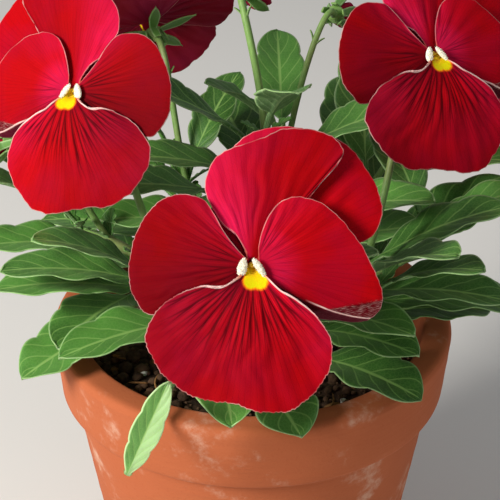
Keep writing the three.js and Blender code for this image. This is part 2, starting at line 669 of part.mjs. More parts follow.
// Finishes.
const finish = (color, roughness) => new THREE.MeshStandardMaterial({ color, roughness, metalness: 0 });
const TERRACOTTA = finish(0xb8694a, 0.85);
const SOIL = finish(0x3a2a20, 1);
const LEAF_GREEN = finish(0x4f7d3a, 0.6);
const PETAL_RED = finish(0xb4061a, 0.7);
const PISTIL_GREEN = finish(0xc9c46a, 0.5);

const pansy = new THREE.Group();
const mesh = (name, geometry, material, parent = pansy) => {
  const made = new THREE.Mesh(geometry, material);
  made.name = name;
  parent.add(made);
  return made;
};

const stems = STEMS.map((stem) => ({ ...stem, curve: stemCurve(stem) }));
const flowers = FLOWERS.map((flower) => {
  const { size, mirror } = flower;
  const frame = frameOf(flower);
  const matrix = frame.clone().multiply(new THREE.Matrix4().makeScale(mirror ? -size : size, size, size));
  return { ...flower, frame, matrix, inverse: frame.clone().invert() };
});
const buds = BUDS.map((bud) => ({ ...bud, matrix: frameOf(bud) }));

// Flowers, buds and stalks take their room first, and the leaves grow round them.
for (const flower of flowers) {
  const { stem, from, frame, size } = flower;
  flower.stalk = stalkCurve(stems[stem], from, frame, -10 * size, 13 * size);
  take(flower.stalk.getPoints(18), flower.stem);
}
for (const bud of buds) {
  for (const z of [-4, 0, 5, 10, BUD_LENGTH]) take([at(0, 0, z).applyMatrix4(bud.matrix)], -1);
  bud.stalk = stalkCurve(stems[bud.stem], bud.from, bud.matrix, -2.2, 9);
  take(bud.stalk.getPoints(18), bud.stem);
}
stems.forEach((stem, number) => take(stem.curve.getPoints(14), number));

mesh("pot", geometryOf(potSolid()), TERRACOTTA);
mesh("soil", geometryOf(soilSolid(stems)), SOIL);

const fineCorolla = corollaSolid([3, 6, 9, 12, 15, 16]);
const plainCorolla = corollaSolid([2, 4, 7, 9]);
const fineGeometry = geometryOf(fineCorolla);
const plainGeometry = geometryOf(plainCorolla);
const pistil = geometryOf(solidOf(pistilGeometry()));
const budGeometry = geometryOf(budCorolla());

for (const flower of flowers) {
  const head = new THREE.Group();
  head.applyMatrix4(flower.matrix);
  mesh(`${flower.name}_petals`, flower.fine ? fineGeometry : plainGeometry, PETAL_RED, head);
  mesh(`${flower.name}_pistil`, pistil, PISTIL_GREEN, head);
  pansy.add(head);
}
for (const bud of buds) {
  const head = new THREE.Group();
  head.applyMatrix4(bud.matrix);
  mesh(`${bud.name}_petals`, budGeometry, PETAL_RED, head);
  pansy.add(head);
}

stems.forEach((stem, number) => {
  const pieces = [rod(stem.curve, STEM_RADIUS, STEM_SIDES, STEM_STEPS), ...growLeaves(stem, number, flowers)];
  for (const { stalk, matrix } of flowers.filter((flower) => flower.stem === number)) {
    pieces.push(rod(stalk, STALK_RADIUS, STALK_SIDES, STALK_STEPS), ...movedBy(calyxPieces(), matrix));
  }
  for (const { stalk, matrix } of buds.filter((bud) => bud.stem === number)) {
    pieces.push(rod(stalk, STALK_RADIUS, STALK_SIDES, STALK_STEPS), ...movedBy(budCalyxPieces(), matrix));
  }
  mesh(`leafy_stem_${number + 1}`, geometryOf(fused(pieces)), LEAF_GREEN);
});

export default pansy;
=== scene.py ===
import math
from functools import partial
from itertools import product
from types import SimpleNamespace

import bpy
import numpy as np
from bpy.props import FloatProperty, FloatVectorProperty, IntProperty, PointerProperty
from mathutils import Matrix


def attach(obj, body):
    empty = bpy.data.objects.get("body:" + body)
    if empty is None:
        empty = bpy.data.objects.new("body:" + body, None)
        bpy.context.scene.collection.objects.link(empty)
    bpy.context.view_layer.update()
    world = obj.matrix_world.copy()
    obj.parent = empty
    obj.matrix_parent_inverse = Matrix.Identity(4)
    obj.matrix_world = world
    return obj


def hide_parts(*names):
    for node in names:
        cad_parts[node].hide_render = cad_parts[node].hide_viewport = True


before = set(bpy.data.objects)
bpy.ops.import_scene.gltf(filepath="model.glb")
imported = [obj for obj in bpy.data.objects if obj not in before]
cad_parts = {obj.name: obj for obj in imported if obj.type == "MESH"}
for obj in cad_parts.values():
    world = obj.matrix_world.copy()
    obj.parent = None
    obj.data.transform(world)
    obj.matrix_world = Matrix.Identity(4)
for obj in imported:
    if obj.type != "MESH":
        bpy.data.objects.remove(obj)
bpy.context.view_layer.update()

bl_info = {
    "name": "Potted pansy",
    "version": (1, 0, 0),
    "blender": (4, 5, 0),
    "location": "3D View > Sidebar > Pansy",
    "description": "Grows a red pansy with its leaves, buds, soil and clay pot",
    "category": "Add Mesh",
}

# Lengths are in millimetres up to make_mesh and placed, which turn them to metres. The values from here down to
# CREASE are the same as in the part's source, apart from a petal's finish, so that each piece keeps its node's form.
METRE = 0.001
UP = np.array([0.0, 0.0, 1.0])

POT_HEIGHT = 104.0
POT_BASE_RADIUS = 41.0
POT_RIM_RADIUS = 60.0
POT_WALL = 5.0
RIM_BAND = 22.0
RIM_FLARE = 2.0
BAND_START = POT_HEIGHT - RIM_BAND
NECK_RADIUS = 54.5
DRAIN_HOLES = 4
DRAIN_RADIUS = 4.0
DRAIN_CIRCLE = 22.0
SOIL_LEVEL = 94.0
FIT_GAP = 0.3

STEM_RADIUS = 1.7
STALK_RADIUS = 1.05
STEM_IN_SOIL = 12.0
LOWEST_LEAF = 0.27
LEAVES_ON_STEM = 6
LEAF_TEETH = 3
LEAF_FOLD = 0.28
LEAF_DROOP = 0.22
PETIOLE_HALF_WIDTH = 0.9
PETIOLE_BEND = 22.0

THROAT = np.array([0.0, 0.5])
THROAT_ARC = 2.1
FACE_RADIUS = 35.0
SEPAL_TURNS = (90, 18, 315, 225, 162)
SEPAL_REACH = 16.0
BUD_LENGTH = 15.0

# The room that a leaf keeps: its gap from all that stands, apart from its own stem within a reach of its foot; its
# height over the soil inside the pot, over the rim, and under the rim's band out of the pot, with the width of the
# zones in which each holds; and the radius and the depth behind the throat of the free space before a flower.
LEAF_GAP = 4.2
OWN_STEM_REACH = 10.0
OVER_SOIL = 4.5
OVER_RIM = 3.0
UNDER_BAND = 7.0
INSIDE_RIM = 6.0
PAST_RIM = 5.0
FREE_FACE = 37.0
FREE_DEPTH = 13.0

# Each stem leans out along its azimuth, from its start to its reach, and rises out of the soil.
STEMS = [SimpleNamespace(azimuth=azimuth, start=start, reach=reach, rise=rise) for azimuth, start, reach, rise in (
    (-88, 15, 44, 34), (-124, 16, 48, 40), (-50, 16, 50, 40), (-8, 16, 52, 36), (34, 16, 50, 38),
    (76, 15, 48, 42), (120, 16, 50, 38), (172, 16, 52, 36), (-70, 3, 10, 74),
)]
RISING_LEAF_STEM = 1

# Flowers and buds: the stem that carries each, where its stalk leaves that stem, its place, and the azimuth and
# elevation that it faces.
FLOWERS = [
    SimpleNamespace(name="flower_1", stem=0, leaves_at=0.86, place=(0, -75, 165), facing=(-90, 30), roll=0, size=1,
                    mirror=False),
    SimpleNamespace(name="flower_2", stem=1, leaves_at=0.8, place=(-49, -25, 190), facing=(-115, 30), roll=8,
                    size=0.9, mirror=True),
    SimpleNamespace(name="flower_3", stem=2, leaves_at=0.85, place=(50, -14, 196), facing=(-62, 36), roll=-6,
                    size=0.9, mirror=False),
    SimpleNamespace(name="flower_4", stem=4, leaves_at=0.8, place=(72, 40, 164), facing=(26, 28), roll=5,
                    size=0.88, mirror=True),
    SimpleNamespace(name="flower_5", stem=6, leaves_at=0.8, place=(-34, 66, 174), facing=(116, 30), roll=-8,
                    size=0.92, mirror=False),
]
BUDS = [
    SimpleNamespace(name="bud_1", stem=8, leaves_at=0.94, place=(-2, 12, 204), facing=(60, -28)),
    SimpleNamespace(name="bud_2", stem=5, leaves_at=0.85, place=(26, 62, 176), facing=(70, -20)),
    SimpleNamespace(name="bud_3", stem=7, leaves_at=0.85, place=(-72, 12, 156), facing=(170, -24)),
]
for flower in FLOWERS:
    flower.opened = True
for bud in BUDS:
    bud.opened, bud.roll, bud.size, bud.mirror = False, 0, 1, False

# Petals in a flower's own frame: x to the viewer's right, y up, z towards the viewer, origin in the throat. arc is
# the part of the throat that a petal leaves, in degrees, and margin its outline from the arc's first end to its last.
# hug says how far the line from the throat to each margin point bends, so that it stays inside a margin that curves
# in. pale is the width of the pale margin, a painted highlight of the thin edge in the light, and pale_ends how much
# wider it gets next to the throat, on each side. pink is how much painted sheen, a pink where light grazes the velvet,
# the petal's first side, last side and part next to the throat get, and deep how much painted shade darkens its red on
# each side.
PETALS = [
    # The upper back petal's dense dark lines next to the throat are partly its darker base and partly painted shade of
    # the gap between it and the left petal.
    SimpleNamespace(
        name="upper_back", arc=(136, 38), root=-4.7, level=-5.2, bow=4.4, swell=0, ruffle=0.6, waves=3, streaks=1.0,
        streak_reach=12, pale=0.2, pale_ends=(0, 0), pink=(0.6, 0, 0), deep=(0, 0),
        margin=[(-3.8, 4.1), (-9.7, 11.2), (-10.5, 14.6), (-10, 20.4), (-6.8, 28), (-2, 33.4), (6, 35.9),
                (15.4, 34.9), (23.6, 31.6), (28.7, 25.6), (32.1, 19.2), (32.8, 13.2), (30, 7.8), (23, 5.2),
                (12, 4.2), (2.6, 2.9)],
        hug=[0, 0, 0, 0, 0, 0, 0, 0, 0, 0, 0, 0, -0.6, -0.9, -0.5, 0]),
    SimpleNamespace(
        name="upper_front", arc=(138, 52), root=-3.4, level=-3.5, bow=4.1, swell=0, ruffle=0.5, waves=3, streaks=0.2,
        streak_reach=16, pale=0.22, pale_ends=(0.04, 0), pink=(0.9, 0, 0), deep=(0, 0.3),
        margin=[(-1.7, 4), (-4.5, 8.6), (-7.3, 10.7), (-9.7, 14.2), (-12, 19), (-11.4, 24.3), (-8.5, 28.7),
                (-3.2, 31), (2.2, 32.8), (7.7, 35.2), (14.7, 35.1), (20, 33.4), (22.9, 30), (21.6, 26.4),
                (17.4, 21.6), (11.7, 14.5), (6, 8.5), (2, 4.3)],
        hug=[0, 0.8, 1.7, 1.9, 1.7, 1.4, 1, 0.6, 0.3, 0, 0, 0, -0.2, -0.4, -0.7, -0.9, -0.7, 0]),
    SimpleNamespace(
        name="left", arc=(222, 130), root=-2.2, level=-1.8, bow=3, swell=0, ruffle=0.45, waves=2, streaks=0.6,
        streak_reach=20, pale=0.18, pale_ends=(0, 0.04), pink=(0, 0.6, 0.1), deep=(0.75, 0.3),
        margin=[(-3.5, -2.6), (-10, -7.2), (-19.5, -10.6), (-26, -11.8), (-29, -9), (-31, -4.5), (-31.2, 1),
                (-30, 7), (-27.6, 12.2), (-24, 16.4), (-19, 18.5), (-13, 17.5), (-10, 14), (-6.9, 8.6), (-3, 3.7)],
        hug=[0, 0, 0, 0, 0, 0, 0, 0, -0.2, -0.5, -0.8, -1.1, -1.2, -0.9, 0]),
    SimpleNamespace(
        name="right", arc=(-48, 48), root=-2.2, level=-1.8, bow=2.6, swell=0, ruffle=0.4, waves=2, streaks=0.5,
        streak_reach=16, pale=0.17, pale_ends=(0, 0.04), pink=(0, 0.3, 0.9), deep=(0.25, 0),
        margin=[(4, -3.4), (8, -6.6), (12, -9.7), (16.4, -12.7), (22, -13.4), (26.4, -13.9), (30.2, -12.8),
                (32.6, -9.4), (32.2, -4.6), (30.2, 0), (27.4, 5.5), (22.8, 11.5), (18, 15.8), (12.4, 17.8),
                (7.8, 17.1), (4.5, 14), (2.2, 9), (1.3, 5)],
        hug=[0]),
    SimpleNamespace(
        name="lower", arc=(208, 330), root=-1.1, level=0.1, bow=3.8, swell=1.2, ruffle=0.8, waves=4, streaks=1.0,
        streak_reach=26, pale=0.22, pale_ends=(0.14, 0.14), pink=(0.3, 0.4, 0), deep=(0.6, 0),
        margin=[(-3.5, -2.2), (-8.2, -4.7), (-12.4, -4.4), (-16.8, -5.7), (-22.6, -9.2), (-27, -16.4),
                (-24.8, -23.6), (-20.4, -29), (-13.6, -33), (-6, -34), (2.2, -36.2), (9.6, -35.8), (15.2, -31.6),
                (19, -26.1), (19.8, -19), (16.4, -12.6), (11.2, -8), (7, -5.5), (4, -2.6)],
        hug=[0, 0.8, 2.4, 3.1, 2.9, 2.2, 1.3, 0.5, 0, 0, 0, 0, 0, -0.3, -0.8, -1.2, -1.2, -0.6, 0]),
]
# The right petal's lower outer corner is folded back along a line that rises slowly to the right, and its whole lower
# edge turns under along a curve, which starts at a slope and levels out by its bend.
FOLD = SimpleNamespace(x=17, y=-10.4, slope=0.17, steepness=1.15)
CREASE = SimpleNamespace(x=4, y=-2.5, slope=-0.58, bend=0.0113, span=10, steepness=0.9)

# The petals' finish. Guide lines: how many leave the throat in each radian, and half the width of a strong one.
# Scallops of a margin: each one's depth and its waves in each span of the margin. The yellow eye is made of discs:
# the place and radius of each.
LINES_PER_RADIAN = 4.6
FINE_LINES_PER_RADIAN = 21.0
GUIDE_HALF_WIDTH = 0.165
MARGIN_SCALLOPS = ((0.14, 0.9), (0.1, 2.3), (0.14, 5.1))
EYE_DISCS = ((-0.45, -3.35, 2.05), (1.7, -3.35, 2.1), (0.5, -1.6, 2.7))

# Rows and columns of points in a petal of the first flower, which is seen from close by, and of the others. The
# lower petal has more columns, because its margin is the longest.
FIRST_GRID = (52, 120)
OTHER_GRID = (32, 66)
LOWER_COLUMNS = 1.8

# The leaves' finish: side veins on each half of a blade, and how far they lean towards its tip. Ages run from 0, old,
# to 1, fresh. The rising leaf is younger than that, and one side of it has painted shade.
SIDE_VEINS = 6.0
SIDE_VEIN_LEAN = 0.32
YOUNG = 2.0
YOUNG_SIDE = -1

# A leafy stem's finishes: the slots of the front, back and rim of a leaf and of a sepal, and that of the skin of
# stems and stalks. Hairs stand on the leaf stalks only.
LEAF_SLOTS = (0, 1, 0)
SEPAL_SLOTS = (3, 3, 2)
SKIN_SLOT = 2
HAIRS_ON_STALK = 34
HAIR_RADIUS = 0.045

# What lies on the soil, and how far from the pot's middle it reaches.
BARK_FLAKES = 90
ROOT_FIBRES = 26
CRUMB_REACH = 48.5
FIBRE_REACH = 44.0

# The camera looks straight into the first flower, at the distance where one pixel of the picture is 0.25 mm there,
# and a little left and above its throat.
CAMERA_DISTANCE = 450.0
CAMERA_SHIFT = (-0.75, 4.5)

# Settings that many nodes share.
PLUS, TIMES, TIMES_PLUS, LESS, OVER, LARGER, ABSOLUTE, ZIGZAG = ({"operation": kind} for kind in (
    "ADD", "MULTIPLY", "MULTIPLY_ADD", "SUBTRACT", "DIVIDE", "MAXIMUM", "ABSOLUTE", "PINGPONG"))
SOFT = {"interpolation_type": "SMOOTHSTEP"}
COLOUR = {"data_type": "RGBA"}


# Colours, numbers and curves, and the shells that pieces are made of.


def linear(code):
    """An sRGB hex colour as the linear red, green and blue that Blender's sockets take."""
    channels = [int(code[i:i + 2], 16) / 255 for i in (0, 2, 4)]
    return tuple(c / 12.92 if c <= 0.04045 else ((c + 0.055) / 1.055) ** 2.4 for c in channels)


def smooth(t):
    """0 below 0, 1 above 1, and 3t² - 2t³ between them."""
    c = np.clip(t, 0.0, 1.0)
    return c * c * (3.0 - 2.0 * c)


def draw(n):
    """A repeatable draw from 0 to 1 for each number: what follows the point in a large multiple of its sine."""
    v = np.sin(np.asarray(n, float) * 12.9898 + 4.1414) * 43758.5453
    return v - np.floor(v)


def unit(v):
    """Each vector divided by its length."""
    length = np.linalg.norm(v, axis=-1, keepdims=True)
    return v / np.maximum(length, 1e-12)


def heading(azimuth, elevation):
    """The unit vector at an azimuth from +X and an elevation over the horizon, in degrees."""
    a = math.radians(azimuth)
    e = math.radians(elevation)
    return np.array([math.cos(e) * math.cos(a), math.cos(e) * math.sin(a), math.sin(e)])


def circle(count):
    """The angles of count points that stand evenly round a circle."""
    return np.arange(count) * 2 * np.pi / count


def around(r, turn, z):
    """Points at radii r, angles turn and heights z round the upright axis, on the grid that the three make."""
    r, turn, z = np.broadcast_arrays(r, turn, z)
    return np.stack([r * np.cos(turn), r * np.sin(turn), z], axis=-1)


def bezier(points, t):
    """Points at the shares t of a Bezier curve: the sum of its control points, each times its binomial weight."""
    t = np.asarray(t, float)[..., None]
    n = len(points) - 1
    return sum(math.comb(n, k) * (1 - t) ** (n - k) * t ** k * np.asarray(p, float) for k, p in enumerate(points))


def bezier_tangent(points, t):
    """The unit direction of a Bezier curve at the share t, from two points close round it."""
    ends = bezier(points, np.clip([t - 1e-4, t + 1e-4], 0, 1))
    return unit(ends[1] - ends[0])


def catmull(points, u):
    """Points at the shares u of a cubic through all the given points, each span's ends leaning on its neighbours."""
    p = np.asarray(points, float)
    place = np.minimum(np.asarray(u, float) * (len(p) - 1), len(p) - 1 - 1e-9)
    i = np.floor(place).astype(int)
    t = (place - i)[..., None]
    a, b, c, d = (p[np.clip(i + k, 0, len(p) - 1)] for k in (-1, 0, 1, 2))
    return 0.5 * (2 * b + (c - a) * t + (2 * a - 5 * b + 4 * c - d) * t ** 2 + (3 * b - a - 3 * c + d) * t ** 3)


def lumps(points, size, seed=0.0):
    """Smooth random heights from -1 to 1: draws at the corners of a lattice, blended between them."""
    q = np.asarray(points, float) / size
    low = np.floor(q)
    part = smooth(q - low)
    total = np.zeros(q.shape[:-1])
    for corner in product((0.0, 1.0), repeat=q.shape[-1]):
        key = (low + corner) @ np.array([1.0, 57.0, 113.0])[:q.shape[-1]] + seed
        total = total + draw(key) * np.prod(np.where(corner, part, 1 - part), axis=-1)
    return 2 * total - 1


def shell(points, faces, slots=None, **fields):
    """A closed surface: points, a list of face arrays, a material slot for each face array, and values by point."""
    points = np.asarray(points, float).reshape(-1, 3)
    return SimpleNamespace(points=points, faces=faces, slots=slots or [0] * len(faces), fields=fields)


def grid_faces(rows, columns):
    """The quads between neighbouring rows and columns of points that are numbered row by row."""
    i, j = np.meshgrid(np.arange(rows - 1), np.arange(columns - 1), indexing="ij")
    a = (i * columns + j).ravel()
    return np.stack([a, a + 1, a + columns + 1, a + columns], axis=1)


def sheet_shell(middle, thickness, slots=(0, 0, 0), **fields):
    """A thin sheet made solid: a grid of points moved half the thickness both ways along the cross product of its
    column and row directions, with a rim round its edge. slots are those of its front, back and rim."""
    rows, columns = middle.shape[:2]
    normal = unit(np.cross(np.gradient(middle, axis=1), np.gradient(middle, axis=0)))
    half = (np.broadcast_to(thickness, (rows, columns)) / 2)[..., None]
    points = np.concatenate([(middle + normal * half).reshape(-1, 3), (middle - normal * half).reshape(-1, 3)])
    front = grid_faces(rows, columns)
    count = rows * columns
    number = np.arange(count).reshape(rows, columns)
    loop = np.concatenate([number[0, :-1], number[:-1, -1], number[-1, :0:-1], number[:0:-1, 0]])
    ahead = np.roll(loop, -1)
    rim = np.stack([ahead, loop, loop + count, ahead + count], axis=1)
    values = {k: np.tile(np.broadcast_to(v, (rows, columns)).ravel(), 2) for k, v in fields.items()}
    return shell(points, [front, front[:, ::-1] + count, rim], list(slots), **values)


def rings_shell(rings, first, last, slot=0, **fields):
    """A closed skin over rings of points, each ring turning the same way, with a pole at each end."""
    rows, sides = rings.shape[:2]
    i, j = np.meshgrid(np.arange(rows - 1), np.arange(sides), indexing="ij")
    a = (i * sides + j).ravel()
    b = (i * sides + (j + 1) % sides).ravel()
    wall = np.stack([a, b, b + sides, a + sides], axis=1)
    here = np.arange(sides)
    after = (here + 1) % sides
    end = (rows - 1) * sides
    poles = rows * sides
    low = np.stack([np.full(sides, poles), after, here], axis=1)
    high = np.stack([np.full(sides, poles + 1), here + end, after + end], axis=1)
    points = np.concatenate([rings.reshape(-1, 3), [first], [last]])
    values = {}
    for k, v in fields.items():
        spread = np.broadcast_to(v, (rows, sides))
        values[k] = np.concatenate([spread.ravel(), [spread[0].mean(), spread[-1].mean()]])
    return shell(points, [wall, low, high], [slot] * 3, **values)


def tube_shell(path, radius, sides, slot=0, **fields):
    """A round skin along a path. Each ring lies across the path, turned from the plane that the path is nearest to.
    radius is one number, one for each path point, or one for each point of each ring."""
    ahead = unit(np.gradient(path, axis=0))
    flat = np.linalg.svd(path - path.mean(axis=0))[2][-1]
    side = unit(np.cross(ahead, flat))
    other = np.cross(ahead, side)
    turn = circle(sides)
    r = np.asarray(radius, float)
    r = np.broadcast_to(r[:, None] if r.ndim == 1 else r, (len(path), sides))
    across = np.cos(turn)[None, :, None] * side[:, None] + np.sin(turn)[None, :, None] * other[:, None]
    rings = path[:, None] + across * r[..., None]
    values = {k: np.asarray(v)[:, None] if np.ndim(v) == 1 else v for k, v in fields.items()}
    return rings_shell(rings, path[0], path[-1], slot, **values)


def turned_shell(profile, sides, slot=0, centre=(0, 0), **fields):
    """A profile of [radius, height] turned round an upright line. Its first and last points lie on that line."""
    profile = np.asarray(profile, float)
    axis = np.array([*centre, 0.0])
    rings = around(profile[1:-1, :1], circle(sides), profile[1:-1, 1:]) + axis
    return rings_shell(rings, axis + UP * profile[0, 1], axis + UP * profile[-1, 1], slot, **fields)


def ball_shell(rows, end, sides, slot, **fields):
    """A ball of radius 1: rows of points at heights from -end to end, and a pole at each end."""
    z = np.linspace(-end, end, rows)
    middle = np.stack([np.sqrt(1 - z ** 2), z], axis=1)
    return turned_shell(np.concatenate([[(0, -1)], middle, [(0, 1)]]), sides, slot, **fields)


def rounded(corners, radius, steps=5):
    """A line of [radius, height] corners with each inner corner swapped for a short curve that starts and ends at
    most radius from it."""
    p = np.asarray(corners, float)
    t = np.linspace(0, 1, steps)
    out = [p[:1]]
    for before, corner, after in zip(p[:-2], p[1:-1], p[2:]):
        a, b = (corner + unit(end - corner) * min(radius, 0.45 * np.linalg.norm(end - corner))
                for end in (before, after))
        out.append(bezier([a, corner, b], t))
    out.append(p[-1:])
    return np.concatenate(out)


def filled_in(line, step):
    """A line of points with more put evenly between those that stand further apart than step."""
    parts = []
    for a, b in zip(line[:-1], line[1:]):
        count = max(1, int(math.ceil(np.linalg.norm(b - a) / step)))
        parts.append(a + (b - a) * np.arange(count)[:, None] / count)
    return np.concatenate(parts + [line[-1:]])


def moved(one, basis, place, scale=1.0, mirror=False):
    """A shell turned by a basis whose columns are its own axes, and moved. A mirrored one has its faces turned back."""
    points = one.points * scale
    if mirror:
        points = points * np.array([-1.0, 1.0, 1.0])
    faces = [f[:, ::-1] for f in one.faces] if mirror else one.faces
    return shell(points @ np.asarray(basis).T + np.asarray(place, float), faces, one.slots, **one.fields)


def copies(one, bases, places, **fields):
    """Copies of a small shell as one shell: each of its points times each basis, plus each place. Each copy has one
    value of a field."""
    count = len(places)
    size = len(one.points)
    points = np.einsum("nij,pj->npi", bases, one.points) + np.asarray(places)[:, None]
    offset = (np.arange(count) * size)[:, None, None]
    faces = [(f[None] + offset).reshape(-1, f.shape[1]) for f in one.faces]
    values = {k: np.repeat(np.broadcast_to(v, count), size) for k, v in fields.items()}
    return shell(points.reshape(-1, 3), faces, one.slots, **values)


def bases_along(directions, spin):
    """For each direction, a basis whose third column is that direction, turned round it by spin in radians."""
    w = unit(np.asarray(directions, float))
    helper = np.where(np.abs(w[:, 2:3]) < 0.9, UP, np.array([1.0, 0.0, 0.0]))
    u = unit(np.cross(helper, w))
    v = np.cross(w, u)
    c, s = np.cos(spin)[:, None], np.sin(spin)[:, None]
    return np.stack([u * c + v * s, v * c - u * s, w], axis=2)


def make_mesh(name, shells):
    """One mesh from closed shells, in metres, with each shell's fields as attributes of its points."""
    offsets = np.cumsum([0] + [len(s.points) for s in shells])
    points = np.concatenate([s.points for s in shells]) * METRE
    faces = [f + o for s, o in zip(shells, offsets) for f in s.faces]
    looks = [np.full(len(f), k) for s in shells for f, k in zip(s.faces, s.slots)]
    sizes = np.concatenate([np.full(len(f), f.shape[1]) for f in faces])
    corners = np.concatenate([f.ravel() for f in faces])
    mesh = bpy.data.meshes.new(name)
    mesh.vertices.add(len(points))
    mesh.vertices.foreach_set("co", points.astype(np.float32).ravel())
    mesh.loops.add(len(corners))
    mesh.loops.foreach_set("vertex_index", corners.astype(np.int32))
    mesh.polygons.add(len(sizes))
    mesh.polygons.foreach_set("loop_start", np.concatenate([[0], np.cumsum(sizes)[:-1]]).astype(np.int32))
    mesh.polygons.foreach_set("material_index", np.concatenate(looks).astype(np.int32))
    mesh.update(calc_edges=True)
    for field in sorted({k for s in shells for k in s.fields}):
        parts = [np.asarray(s.fields.get(field, np.zeros(len(s.points))), float) for s in shells]
        attribute = mesh.attributes.new(field, "FLOAT", "POINT")
        attribute.data.foreach_set("value", np.concatenate(parts).astype(np.float32))
    return mesh


def make_piece(name, shells, materials, node):
    """One object from closed shells, riding on the root body in place of a node."""
    mesh = make_mesh(name, shells)
    mesh.shade_smooth()
    for material in materials:
        mesh.materials.append(material)
    piece = bpy.data.objects.new(name, mesh)
    bpy.context.scene.collection.objects.link(piece)
    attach(piece, "root")
    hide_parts(node)
    return piece


# Nodes and materials.


def add_node(tree, kind, *inputs, output=None, **named):
    """Adds a node and gives back its output of that name, or else the first in use. Numbers, colours and sockets fill
    the inputs in use in their order, or by name where the name starts with a capital. Other names are settings."""
    made = tree.nodes.new("ShaderNode" + kind)
    for key in [key for key in named if key[0].islower()]:
        setattr(made, key, named.pop(key))
    in_use = [socket for socket in made.inputs if socket.enabled]
    pairs = list(zip(in_use, inputs)) + [(made.inputs[key.replace("_", " ")], named[key]) for key in named]
    for socket, value in pairs:
        if isinstance(value, bpy.types.NodeSocket):
            tree.links.new(value, socket)
        else:
            socket.default_value = (*value, 1.0) if socket.type == "RGBA" else value
    return made.outputs[output] if output else next((socket for socket in made.outputs if socket.enabled), None)


def new_material(name):
    """An empty material, and add_node for its tree."""
    material = bpy.data.materials.new(name)
    material.use_nodes = True
    material.node_tree.nodes.clear()
    return material, partial(add_node, material.node_tree)


def grain(size):
    """The Scale that gives a texture's pattern a size in mm."""
    return 1 / (size * METRE)


# Where everything grows: frames of flowers and buds, curves of stems and stalks, and the leaf rule.


def frame_of(item):
    """The basis of a flower or bud, whose columns are its right, up and forward, turned by its roll."""
    forward = heading(*item.facing)
    right = unit(np.cross(UP, forward))
    up = np.cross(forward, right)
    roll = math.radians(item.roll)
    c, s = math.cos(roll), math.sin(roll)
    return np.stack([right * c + up * s, up * c - right * s, forward], axis=1)


def stem_curve(stem):
    """A stem's three control points: from under the soil, up and then out to its tip."""
    out = heading(stem.azimuth, 0)
    bend = stem.start + 0.12 * (stem.reach - stem.start)
    places = ((stem.start, -STEM_IN_SOIL), (bend, 0.75 * stem.rise), (stem.reach, stem.rise))
    return [out * r + UP * (SOIL_LEVEL + z) for r, z in places]


def stalk_curve(curve, share, basis, place, back, hook):
    """A stalk's four control points: it leaves its stem upwards and hooks over into the back of its flower."""
    start = bezier(curve, share)
    end = np.asarray(place, float) + basis @ np.array([0, THROAT[1] if back < -5 else 0, back])
    leave = unit(bezier_tangent(curve, share) + UP)
    arrive = end - basis[:, 2] * hook + UP * 0.8 * hook
    return [start, start + leave * 0.45 * np.linalg.norm(start - end), arrive, end]


def leaf_half_width(s):
    """A leaf's half width at s, as a share of its widest: narrow at both ends, widest before its middle."""
    return 2.2 * s ** 0.6 * (1 - s) ** 0.55


def make_leaf(start, bend, base, forward, length, half, facing=UP):
    """A leaf's numbers: its stalk runs from start round bend to base, and its blade from there along forward."""
    right = unit(np.cross(forward, facing))
    return SimpleNamespace(start=start, base=base, petiole=[start, bend, base], forward=forward, right=right,
                           normal=unit(np.cross(right, forward)), length=length, half=half)


def leaf_points(leaf, s, x):
    """The leaf's surface: its stalk's curve for s below 0, and over it a blade that droops with the square of s and
    folds up on both sides of its rib."""
    s, x = np.broadcast_arrays(np.asarray(s, float), np.asarray(x, float))
    stalk = bezier(leaf.petiole, np.clip(1 + s, 0, 1))
    rise = LEAF_FOLD * np.abs(x) * smooth(4 * s) - LEAF_DROOP * leaf.length * s * s
    blade = leaf.base + leaf.forward * (leaf.length * s)[..., None] + leaf.normal * rise[..., None]
    return np.where((s < 0)[..., None], stalk, blade) + leaf.right * x[..., None]


def leaf_samples(leaf):
    """Points over a leaf that the rule of room looks at."""
    s = np.array([0.02, 0.2, 0.4, 0.6, 0.8, 1.0])[:, None]
    shares = np.array([-1, -0.5, 0, 0.5, 1])[None]
    blade = leaf_points(leaf, s, shares * leaf.half * leaf_half_width(s)).reshape(-1, 3)
    stalk = [leaf.start + (leaf.base - leaf.start) * t for t in (0.35, 0.65)]
    return np.concatenate([blade, stalk])


def inner_radius(z):
    """The pot's inner radius at a height."""
    low = POT_BASE_RADIUS + (NECK_RADIUS - POT_BASE_RADIUS) * z / BAND_START
    high = NECK_RADIUS + RIM_FLARE * (z - BAND_START) / RIM_BAND
    return np.where(z < BAND_START, low, high) - POT_WALL


def is_clear(leaf, owner, room):
    """Whether a leaf keeps its gap from all that stands, stays off pot and soil, and hides no open flower."""
    points = leaf_samples(leaf)
    radius = np.hypot(points[:, 0], points[:, 1])
    outside = np.where(radius < POT_RIM_RADIUS + PAST_RIM, POT_HEIGHT + OVER_RIM, BAND_START - UNDER_BAND)
    lowest = np.where(radius < inner_radius(POT_HEIGHT) - INSIDE_RIM, SOIL_LEVEL + OVER_SOIL, outside)
    if np.any(points[:, 2] < lowest):
        return False
    for flower in FLOWERS:
        seen = (points - flower.place) @ flower.basis
        across = np.hypot(seen[:, 0], seen[:, 1])
        deep = (seen[:, 2] > -FREE_DEPTH * flower.size) & (seen[:, 2] < 2 * FACE_RADIUS)
        if np.any(deep & (across < FREE_FACE * flower.size)):
            return False
    near = np.linalg.norm(points[:, None] - room.points[None], axis=2) < LEAF_GAP
    by_foot = np.linalg.norm(points - leaf.start, axis=1) < OWN_STEM_REACH
    return not np.any(near & ~(by_foot[:, None] & (room.owners == owner)[None]))


